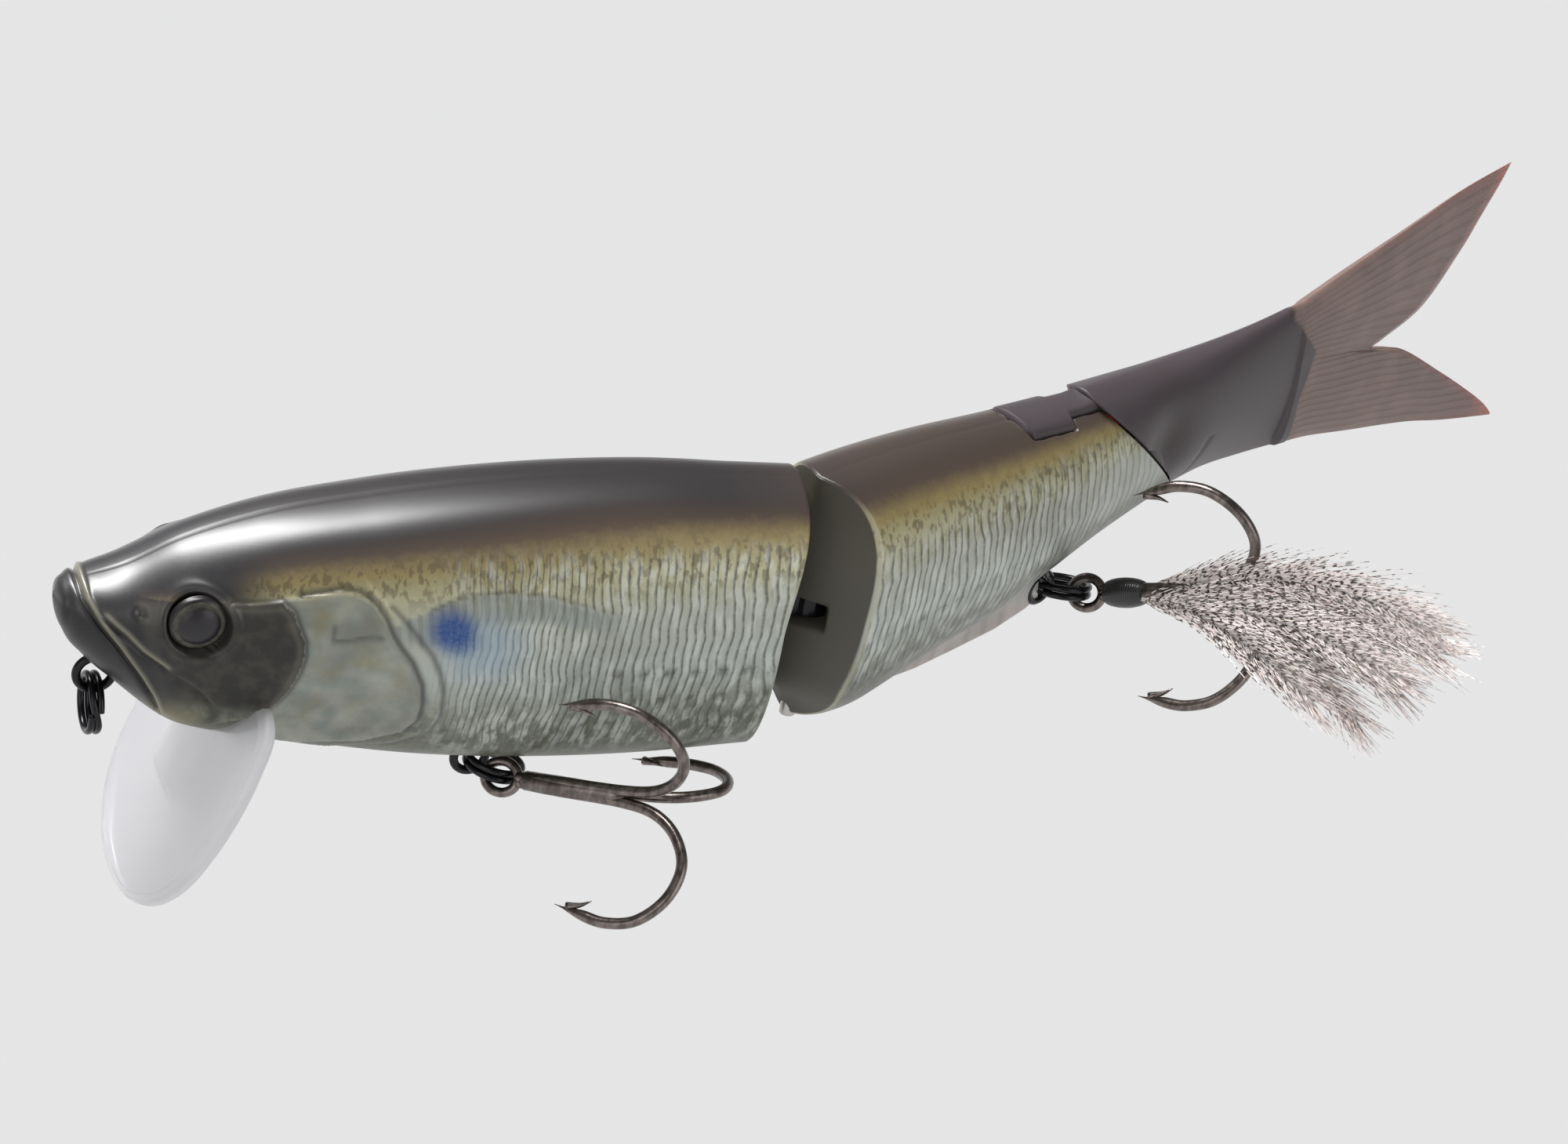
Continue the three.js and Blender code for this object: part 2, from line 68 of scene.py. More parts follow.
WRIST = np.array([
    (38, 12.6, -8.6, 6.3), (48, 11.9, -6.9, 5.3), (57, 11.5, -5.9, 4.2), (64, 11.5, -5.5, 3.2),
    (70, 11.8, -6.0, 2.4), (76, 12.5, -6.7, 1.7), (84, 14.4, -7.9, 1.2)])


def smooth(low, high, value):
    """3t^2 - 2t^3, where t runs from 0 at low to 1 at high."""
    t = np.clip((value - low) / (high - low), 0, 1)
    return t * t * (3 - 2 * t)


def curve(points, t):
    """A smooth line through the points, t from 0 to 1 by point number (Catmull-Rom)."""
    p = np.asarray(points, float)
    p = np.vstack([2 * p[0] - p[1], p, 2 * p[-1] - p[-2]])
    s = np.clip(np.asarray(t, float), 0, 1) * (len(p) - 3)
    i = np.minimum(s.astype(int), len(p) - 4)
    f = (s - i)[..., None]
    a, b, c, d = p[i], p[i + 1], p[i + 2], p[i + 3]
    return 0.5 * (2 * b + (c - a) * f + (2 * a - 5 * b + 4 * c - d) * f ** 2
                  + (3 * b - a - 3 * c + d) * f ** 3)


def even(points, count):
    """The same smooth line cut into even steps."""
    fine = curve(points, np.linspace(0, 1, 40 * len(points)))
    length = np.concatenate([[0], np.cumsum(np.linalg.norm(np.diff(fine, axis=0), axis=1))])
    want = np.linspace(0, length[-1], count)
    return np.stack([np.interp(want, length, fine[:, k]) for k in range(fine.shape[1])], -1)


def column(table, k, x):
    """One column of a station table at x, by a smooth cubic."""
    xs, ys = table[:, 0], table[:, k]
    m = np.gradient(ys, xs)
    x = np.clip(x, xs[0], xs[-1])
    i = np.clip(np.searchsorted(xs, x) - 1, 0, len(xs) - 2)
    h = xs[i + 1] - xs[i]
    t = (x - xs[i]) / h
    return (ys[i] * (1 + 2 * t) * (1 - t) ** 2 + m[i] * h * t * (1 - t) ** 2
            + ys[i + 1] * t * t * (3 - 2 * t) + m[i + 1] * h * t * t * (t - 1))


def power(v, n):
    """v to the power n, keeping its sign."""
    return np.sign(v) * np.abs(v) ** n


def section(table, x, a, grow=0.0):
    """The body's skin at x and angle a, as the heading says, pushed out by grow."""
    top, keel, half = (column(table, k, x) for k in (1, 2, 3))
    m = top - 0.42 * (top - keel)
    c, s = np.cos(a), np.sin(a)
    up = s > 0
    # behind the joint the belly is drawn in towards a V
    y = (half + grow) * power(c, np.where(up, 0.88, 0.98 + 0.62 * smooth(2, 24, x)))
    reach = np.where(up, top - m, m - keel) + grow
    return np.stack([x + 0 * y, y, m + reach * power(s, np.where(up, 0.92, 0.98))], -1)


def height(table, p):
    """0 at the keel and 1 at the back, for points p on a body."""
    top, keel = column(table, 1, p[..., 0]), column(table, 2, p[..., 0])
    return np.clip((p[..., 2] - keel) / (top - keel), 0, 1)


def turn_rear(p):
    """Swing points about the hinge pin by the rest bend."""
    c, s = math.cos(BEND), math.sin(BEND)
    return np.stack([c * p[..., 0] - s * p[..., 1], s * p[..., 0] + c * p[..., 1], p[..., 2]], -1)


def to_frame(p, rear=False):
    p = np.asarray(p, float)
    return ((turn_rear(p) if rear else p) - TIE) * 0.001


def line_distance(x, z, points):
    """Distance from (x, z) to a line of points, how far along it (0-1), and which side (left is +)."""
    p = np.asarray(points, float)
    best = np.full(x.shape, 1e9)
    along, side = np.zeros(x.shape), np.ones(x.shape)
    for k in range(len(p) - 1):
        dx, dz = p[k + 1] - p[k]
        t = np.clip(((x - p[k, 0]) * dx + (z - p[k, 1]) * dz) / (dx * dx + dz * dz), 0, 1)
        ex, ez = x - p[k, 0] - t * dx, z - p[k, 1] - t * dz
        d = np.hypot(ex, ez)
        near = d < best
        best = np.where(near, d, best)
        along = np.where(near, (k + t) / (len(p) - 1), along)
        side = np.where(near, np.sign(dx * ez - dz * ex), side)
    return best, along, side


# ---- meshes ----
def mesh(name, verts, quads, material, body, node=None, uv=None, masks=None):
    """verts in frame metres, quads as rows of four numbers, uv and masks one value per vertex."""
    data = bpy.data.meshes.new(name)
    verts = np.asarray(verts, np.float32).reshape(-1, 3)
    quads = np.asarray(quads, np.int32)
    data.vertices.add(len(verts))
    data.vertices.foreach_set("co", verts.ravel())
    data.loops.add(quads.size)
    data.loops.foreach_set("vertex_index", quads.ravel())
    data.polygons.add(len(quads))
    data.polygons.foreach_set("loop_start", np.arange(0, quads.size, 4, dtype=np.int32))
    data.update(calc_edges=True)
    data.polygons.foreach_set("use_smooth", np.ones(len(quads), bool))
    if uv is not None:
        layer = data.uv_layers.new(name="UVMap")
        layer.data.foreach_set("uv", np.asarray(uv, np.float32).reshape(-1, 2)[quads.ravel()].ravel())
    for key, value in (masks or {}).items():
        layer = data.attributes.new(key, "FLOAT", "POINT")
        layer.data.foreach_set("value", np.asarray(value, np.float32).ravel())
    data.validate()
    obj = bpy.data.objects.new(name, data)
    bpy.context.scene.collection.objects.link(obj)
    obj.data.materials.append(material)
    if body:
        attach(obj, body)
    if node:
        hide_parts(*([node] if isinstance(node, str) else node))
    return obj


def grid_quads(rows, cols, wrap=False, flip=False):
    """The quads of a grid of rows x cols vertices, closed round each row when wrap is set."""
    r, c = np.meshgrid(np.arange(rows - 1), np.arange(cols if wrap else cols - 1), indexing="ij")
    n = (c + 1) % cols
    q = np.stack([r * cols + c, r * cols + n, (r + 1) * cols + n, (r + 1) * cols + c], -1).reshape(-1, 4)
    return q[:, ::-1] if flip else q


TIP_REACH = 0.15  # a tube's closing point stands this many radii past its end


def tube(path, radius, sides=12):
    """Circles carried along a path: p = path + radius (cos a u + sin a v), with u and v turned as little
    as the path allows. radius is a number or one per point, and both ends close to a point."""
    path = np.asarray(path, float)
    radius = np.broadcast_to(np.asarray(radius, float), (len(path),)).copy()
    tangent = np.gradient(path, axis=0)
    tangent /= np.linalg.norm(tangent, axis=1, keepdims=True)
    path = np.vstack([path[:1] - tangent[:1] * radius[0] * TIP_REACH, path,
                      path[-1:] + tangent[-1:] * radius[-1] * TIP_REACH])
    tangent = np.vstack([tangent[:1], tangent, tangent[-1:]])
    radius = np.concatenate([[0.0], radius, [0.0]])
    side = np.cross(tangent[0], [0.3, 0.5, 0.8])
    turned = []
    for t in tangent:
        side = side - t * side.dot(t)
        side /= np.linalg.norm(side)
        turned.append(side)
    u = np.array(turned)
    v = np.cross(tangent, u)
    a = np.linspace(0, 2 * np.pi, sides, endpoint=False)
    spoke = np.cos(a)[None, :, None] * u[:, None] + np.sin(a)[None, :, None] * v[:, None]
    p = path[:, None] + radius[:, None, None] * spoke
    return p.reshape(-1, 3), grid_quads(len(path), sides, wrap=True)


def join(parts):
    """Several (vertices, quads) as one."""
    verts, quads, start = [], [], 0
    for v, q in parts:
        verts.append(v)
        quads.append(q + start)
        start += len(v)
    return np.vstack(verts), np.vstack(quads)


def lathe(profile, sides, centre, axis, across):
    """A turned skin: profile rows are (distance along axis, radius). Also gives each vertex's radius."""
    axis, across = np.array(axis, float), np.array(across, float)
    third = np.cross(axis, across)
    a = np.linspace(0, 2 * np.pi, sides, endpoint=False)
    prof = np.asarray(profile, float)
    p = (np.array(centre, float) + prof[:, 0, None, None] * axis
         + prof[:, 1, None, None] * (np.cos(a)[None, :, None] * across + np.sin(a)[None, :, None] * third))
    return p.reshape(-1, 3), grid_quads(len(prof), sides, wrap=True), np.repeat(prof[:, 1], sides)


# ---- shading ----
class Value:
    """A number in a shader, written with ordinary + - * / and the methods below."""

    def __init__(self, tree, socket):
        self.tree, self.socket = tree, socket

    def _math(self, operation, *others):
        node = self.tree.nodes.new("ShaderNodeMath")
        node.operation = operation
        for k, item in enumerate((self,) + others):
            if isinstance(item, Value):
                self.tree.links.new(item.socket, node.inputs[k])
            else:
                node.inputs[k].default_value = item
        return Value(self.tree, node.outputs[0])

    def __add__(self, o): return self._math("ADD", o)
    def __sub__(self, o): return self._math("SUBTRACT", o)
    def __mul__(self, o): return self._math("MULTIPLY", o)
    def __truediv__(self, o): return self._math("DIVIDE", o)
    __radd__, __rmul__ = __add__, __mul__

    def __rsub__(self, o): return (self * -1.0) + o

    def sin(self): return self._math("SINE")
    def abs(self): return self._math("ABSOLUTE")
    def frac(self): return self._math("FRACT")
    def max(self, o): return self._math("MAXIMUM", o)
    def min(self, o): return self._math("MINIMUM", o)

    def step(self, low, high):
        node = self.tree.nodes.new("ShaderNodeMapRange")
        node.interpolation_type = "SMOOTHSTEP"
        self.tree.links.new(self.socket, node.inputs[0])
        node.inputs[1].default_value, node.inputs[2].default_value = low, high
        return Value(self.tree, node.outputs[0])


class Shader:
    """One material: a Principled surface whose varying inputs are built from Values and colours."""

    def __init__(self, name, **fixed):
        self.material = bpy.data.materials.new(name)
        self.material.use_nodes = True
        self.tree = self.material.node_tree
        self.surface = self.tree.nodes["Principled BSDF"]
        for key, value in fixed.items():
            self.surface.inputs[key.replace("_", " ")].default_value = value

    def node(self, kind, links=(), **settings):
        node = self.tree.nodes.new(kind)
        for key, value in settings.items():
            setattr(node, key, value)
        for key, value in dict(links).items():
            self.feed(node.inputs[key], value)
        return node

    def feed(self, socket, value):
        if isinstance(value, Value):
            self.tree.links.new(value.socket, socket)
        elif isinstance(value, bpy.types.NodeSocket):
            self.tree.links.new(value, socket)
        else:
            socket.default_value = value

    def mask(self, name):
        return Value(self.tree, self.node("ShaderNodeAttribute", attribute_name=name).outputs["Fac"])

    def place(self):
        """Object coordinates in millimetres."""
        coords = self.node("ShaderNodeTexCoord").outputs["Object"]
        scaled = self.node("ShaderNodeVectorMath", {0: coords}, operation="SCALE")
        scaled.inputs["Scale"].default_value = 1000
        return scaled.outputs[0]

    def uv(self):
        parts = self.node("ShaderNodeSeparateXYZ", {0: self.node("ShaderNodeTexCoord").outputs["UV"]})
        return Value(self.tree, parts.outputs[0]), Value(self.tree, parts.outputs[1])

    def noise(self, scale, detail=3.0, stretch=(1, 1, 1), at=None):
        where = self.node("ShaderNodeVectorMath", {0: at or self.place(), 1: stretch}, operation="MULTIPLY")
        node = self.node("ShaderNodeTexNoise", {"Vector": where.outputs[0], "Scale": scale, "Detail": detail})
        return Value(self.tree, node.outputs[0])

    def mix(self, factor, a, b):
        node = self.node("ShaderNodeMix", data_type="RGBA")
        self.feed(node.inputs[0], factor)
        for socket, value in ((node.inputs[6], a), (node.inputs[7], b)):
            self.feed(socket, (*value, 1) if isinstance(value, tuple) and len(value) == 3 else value)
        return node.outputs[2]

    def ramp(self, value, stops):
        node = self.node("ShaderNodeValToRGB", {0: value})
        ramp = node.color_ramp
        ramp.elements[0].position, ramp.elements[0].color = stops[0][0], (*stops[0][1], 1)
        ramp.elements[1].position, ramp.elements[1].color = stops[-1][0], (*stops[-1][1], 1)
        for at, colour in stops[1:-1]:
            ramp.elements.new(at).color = (*colour, 1)
        return node.outputs[0]

    def bump(self, value, depth_mm, strength=1.0):
        node = self.node("ShaderNodeBump", {"Height": value, "Strength": strength, "Distance": depth_mm * 0.001})
        self.feed(self.surface.inputs["Normal"], node.outputs[0])

    def set(self, **values):
        for key, value in values.items():
            self.feed(self.surface.inputs[key.replace("_", " ")], value)
        return self


# ---- materials ----
CHARCOAL, BROWN, OLIVE = (0.024, 0.021, 0.022), (0.108, 0.075, 0.053), (0.27, 0.215, 0.085)
PALE_GOLD, SILVER, BELLY = (0.45, 0.44, 0.28), (0.43, 0.46, 0.43), (0.11, 0.12, 0.085)


def scale_lines(sh, x, z):
    """Thin upright wavy lines between the scales, closer together near the gill cover."""
    scale_row = 4.4
    wobble = sh.noise(0.13, 1.5) * 2.4
    arch = ((z / scale_row) * math.pi).sin().abs() * 0.16
    u = (x + 45.0).min(40.0)
    count = u * 1.34 - u * u * 0.0066 + (x + 5.0).max(0.0) * 0.86
    wave = (count + arch + wobble).frac()
    return wave.step(0.50, 0.84) * (1.0 - wave.step(0.86, 1.0))


def body_paint():
    """The painted pattern: bands by height on the body, then each marking, the painted shade and the painted
    highlights laid over by their masks.
    """
    sh = Shader("body_paint", Specular_IOR_Level=0.38, Coat_Roughness=0.34)
    x100, t = sh.uv()
    parts = sh.node("ShaderNodeSeparateXYZ", {0: sh.place()})
    z = Value(sh.tree, parts.outputs[2])
    x = x100 * 100.0
    blotch = sh.noise(0.55, 4.0)
    fine = sh.noise(2.2, 3.0)
    tall = sh.noise(1.5, 2.0, stretch=(1, 1, 0.45))
    level = t + (blotch - 0.5) * 0.035 + (fine - 0.5) * 0.02 - x.step(-45.0, 0.0) * 0.05
    colour = sh.ramp(level, [
        (0.0, (0.08, 0.085, 0.060)), (0.16, BELLY), (0.30, (0.25, 0.27, 0.225)), (0.46, SILVER),
        (0.64, (0.44, 0.46, 0.39)), (0.76, PALE_GOLD), (0.845, OLIVE), (0.905, BROWN)])

    def over(amount, shade):
        nonlocal colour
        colour = sh.mix(amount, colour, shade)

    # the back, charcoal on the head section and brown on the rear one
    over((t - x.step(-55.0, -20.0) * 0.035).step(0.865, 0.955),
         sh.mix(x.step(-14.0, 8.0), CHARCOAL, (0.052, 0.038, 0.031)))
    # dark flecks in the gold band, and a mottled belly
    over(tall.step(0.50, 0.60) * t.step(0.68, 0.82) * (1.0 - t.step(0.86, 0.93)) * 0.6, (0.10, 0.075, 0.035))
    belly = 1.0 - t.step(0.18, 0.42)
    over(sh.noise(1.0, 3.0, stretch=(1, 1, 0.6)).step(0.48, 0.60) * belly * 0.6, (0.055, 0.06, 0.045))
    over(((x * 2.1 + fine * 2.0).sin()).step(-0.1, 0.5) * sh.mask("rows") * 0.75, (0.05, 0.05, 0.04))
    # silver patches and the scale lines
    scales = sh.mask("scales")
    patchy = sh.noise(0.9, 3.0, stretch=(0.6, 1, 1.6)).step(0.30, 0.62)
    lines = scale_lines(sh, x, z) * scales * (patchy * 0.30 + 0.50)
    over(sh.noise(0.55, 3.0, stretch=(1.6, 1, 0.6)).step(0.42, 0.66) * scales * 0.42, (0.72, 0.76, 0.71))
    over(lines, (0.075, 0.08, 0.062))
    # gill cover: grey to silver, with teal and bronze in it
    gill = sh.mix(sh.noise(0.22, 3.0).step(0.25, 0.80), (0.150, 0.160, 0.135), (0.36, 0.37, 0.32))
    gill = sh.mix(sh.noise(0.4, 2.0).step(0.45, 0.75) * 0.45, gill, (0.13, 0.205, 0.20))
    bronze = sh.noise(0.35, 3.0, stretch=(1, 1, 0.7)).step(0.45, 0.80) * z.step(-4.0, 4.0) * 0.6
    over(sh.mask("gill") * 0.85, sh.mix(bronze, gill, (0.20, 0.165, 0.050)))
    over(sh.mask("cheek") * 0.98,
         sh.mix(blotch.step(0.4, 0.65), (0.013, 0.011, 0.010), (0.036, 0.030, 0.022)))
    over(sh.mask("snout"), sh.mix(fine, (0.014, 0.013, 0.016), (0.030, 0.028, 0.029)))
    over(sh.mask("jaw") * 0.85, sh.mix(blotch, (0.20, 0.175, 0.075), (0.30, 0.27, 0.14)))
    # pectoral fin with its blue spot and the pale glow round it
    fin_rays = ((x * 5.2 + z * 0.8).sin()).step(-0.3, 0.7)
    over(sh.mask("pectoral") * 0.55, sh.mix(fin_rays, (0.22, 0.26, 0.27), (0.10, 0.13, 0.145)))
    over(sh.mask("glow") * 0.60, (0.27, 0.38, 0.47))
    spot = sh.mask("spot")
    over(spot * (0.60 + fine * 0.6), (0.013, 0.070, 0.27))
    over(lines * spot.step(0.05, 0.5) * 0.6, (0.012, 0.02, 0.06))
    # creases, raised edges and the bare faces of the joint: painted shade and painted highlights
    # painted shade: grooves, pits, the eye socket, the slot, the tab's recess and the ground under plate edges
    # are darkened; the same mask also draws a dark line along the pectoral fin's edge and a darker band low on
    # the rear flank
    over(sh.mask("dark"), (0.022, 0.02, 0.018))
    # painted highlight on raised lips, plate edges and the rear section's rim
    over(sh.mask("light"), (0.50, 0.48, 0.36))
    wedge = sh.mask("wedge")
    # the joint's bare faces in painted shade, darker towards the top
    over(wedge, sh.mix(t, (0.105, 0.10, 0.085), (0.075, 0.07, 0.05)))
    sh.bump(lines * -1.0 + fine * 0.25, 0.05, 0.7)
    coat = t.step(0.66, 0.90) * (1.0 - x.step(-56.0, -26.0) * 0.75) * (1.0 - wedge)
    return sh.set(Base_Color=colour, Roughness=wedge * 0.25 + 0.33 + fine * 0.06, Coat_Weight=coat,
                  Metallic=scales * 0.35).material


def plain(name, colour, roughness, metallic=0.0, **extra):
    sh = Shader(name, **extra)
    return sh.set(Base_Color=(*colour, 1), Roughness=roughness, Metallic=metallic).material


def hook_metal():
    sh = Shader("black_nickel")
    streak = sh.noise(1.4, 3.0, stretch=(1, 1, 0.4))
    return sh.set(Base_Color=sh.mix(streak.step(0.35, 0.65), (0.13, 0.112, 0.105), (0.24, 0.205, 0.19)),
                  Roughness=0.24 + streak * 0.12, Metallic=1.0).material


def clear_plastic():
    sh = Shader("clear_plastic", Transmission_Weight=0.62, IOR=1.45)
    haze = sh.noise(0.25, 2.0)
    edge = sh.mask("edge")
    return sh.set(Base_Color=sh.mix(edge, (0.74, 0.74, 0.77), (0.80, 0.80, 0.82)),
                  Roughness=0.30 + haze * 0.12, Alpha=0.66 + edge * 0.25).material


def eye_plastic():
    sh = Shader("eye_plastic", Coat_Weight=0.15, Coat_Roughness=0.3, Specular_IOR_Level=0.35)
    r = sh.mask("radius")
    grain = sh.noise(1.6, 3.0)
    iris = sh.mix(grain.step(0.4, 0.6), (0.065, 0.062, 0.045), (0.04, 0.038, 0.028))
    colour = sh.mix(r.step(2.15, 2.3), (0.020, 0.017, 0.020), iris)
    colour = sh.mix(r.step(2.85, 3.0), colour, (0.014, 0.012, 0.013))
    return sh.set(Base_Color=colour, Roughness=0.36).material


def soft_plastic(name, sleeve, fin):
    sh = Shader(name, Subsurface_Weight=0.25, Subsurface_Scale=0.002)
    _, v = sh.uv()
    part = sh.mask("fin")
    rays = ((v * 150.0 + sh.noise(0.2, 2.0) * 3.0).sin()).step(-0.2, 0.9)
    cloud = sh.noise(0.22, 3.0)
    back = sh.mix(rays * 0.34, fin, tuple(c * 0.62 for c in fin))
    back = sh.mix(cloud.step(0.42, 0.68) * 0.35, back, tuple(c * 1.5 for c in fin))
    colour = sh.mix(part, sleeve, back)
    # dark mask: painted shade in the sleeve's hollow and a darker line along its step to the fin
    colour = sh.mix(sh.mask("dark"), colour, (0.030, 0.018, 0.016))
    sh.bump(rays * part + sh.noise(1.2, 2.0) * 0.4, 0.07, 0.6)
    return sh.set(Base_Color=colour, Roughness=0.42, Alpha=1.0 - part * 0.12).material


def feather_material():
    sh = Shader("feather", Subsurface_Weight=0.1, Subsurface_Scale=0.001)
    along = sh.mask("bars") + (sh.noise(0.8, 2.0) - 0.5) * 1.5
    bars = ((along * 4.2).sin()).step(0.25, 0.8) * (1.0 - sh.mask("bars").step(26.0, 46.0) * 0.55)
    colour = sh.mix(bars, (0.86, 0.77, 0.74), (0.060, 0.050, 0.047))
    return sh.set(Base_Color=sh.mix(sh.mask("quill"), colour, (0.75, 0.70, 0.66)), Roughness=0.65).material


PAINT = body_paint()
HOOK = hook_metal()
CLEAR = clear_plastic()
EYES = eye_plastic()
TAIL = soft_plastic("soft_tail", (0.056, 0.045, 0.051), (0.205, 0.140, 0.122))
FIN = soft_plastic("fin_plastic", (0.38, 0.37, 0.35), (0.40, 0.39, 0.365))
BLACK_WIRE = plain("black_wire", (0.028, 0.027, 0.03), 0.26, 0.85)
STEEL = plain("steel", (0.52, 0.50, 0.48), 0.28, 1.0)
THREAD = plain("thread", (0.012, 0.011, 0.011), 0.5, Coat_Weight=0.5, Coat_Roughness=0.2)
FEATHER = feather_material()

# ---- head section ----
UPPER_LIP = [(-79.4, 3.0), (-77.0, 1.3), (-75.0, -0.6), (-71.9, -2.8)]
MOUTH = [(-81.4, 5.6), (-81.0, 4.0), (-79.4, 1.9), (-77.4, -0.4), (-74.9, -3.9), (-73.1, -6.9), (-71.8, -9.8)]
JAW_CREASE = [(-71.3, -3.4), (-70.0, -4.2), (-68.3, -5.5), (-66.6, -7.6)]
CHEEK_EDGE = [(-66.0, 6.0), (-63.4, 6.2), (-61.0, 6.5), (-59.9, 5.6), (-59.3, 4.2), (-58.4, 2.2), (-58.2, 0.4),
              (-58.5, -1.8), (-59.3, -4.3), (-60.4, -6.6), (-62.4, -8.8), (-65.4, -10.2)]
GILL_EDGE = [(-58.8, 7.2), (-54.9, 7.9), (-52.9, 7.7), (-51.3, 6.7), (-50.1, 5.0), (-49.3, 3.2), (-48.2, 1.5),
             (-46.7, -0.5), (-45.3, -3.4), (-44.8, -6.1), (-44.8, -8.4), (-46.0, -10.4), (-50.0, -12.2),
             (-56.0, -13.0)]
MEMBRANE = [(-49.4, 6.0), (-47.9, 4.4), (-46.3, 2.5), (-44.6, 0.3), (-43.4, -2.2), (-42.6, -5.2), (-42.4, -8.4),
            (-43.2, -11.0), (-46.4, -13.2), (-52.0, -14.6)]
GILL_BAR = [(-55.4, 4.6), (-55.3, 2.3), (-53.5, 2.5), (-51.4, 3.1), (-49.8, 3.0)]
PECTORAL = [(-45.2, 6.0), (-41.9, 7.5), (-37.6, 8.0), (-32.5, 7.5), (-27.1, 5.8), (-19.0, 3.0)]
MASKS = ("dark", "light", "gill", "cheek", "jaw", "snout", "pectoral", "spot", "glow", "rows", "wedge", "scales")
OVERHANG = 2.2


def over_end(z):
    """How far the back overhangs the joint at height z."""
    return OVERHANG * smooth(0.0, 15.5, z)


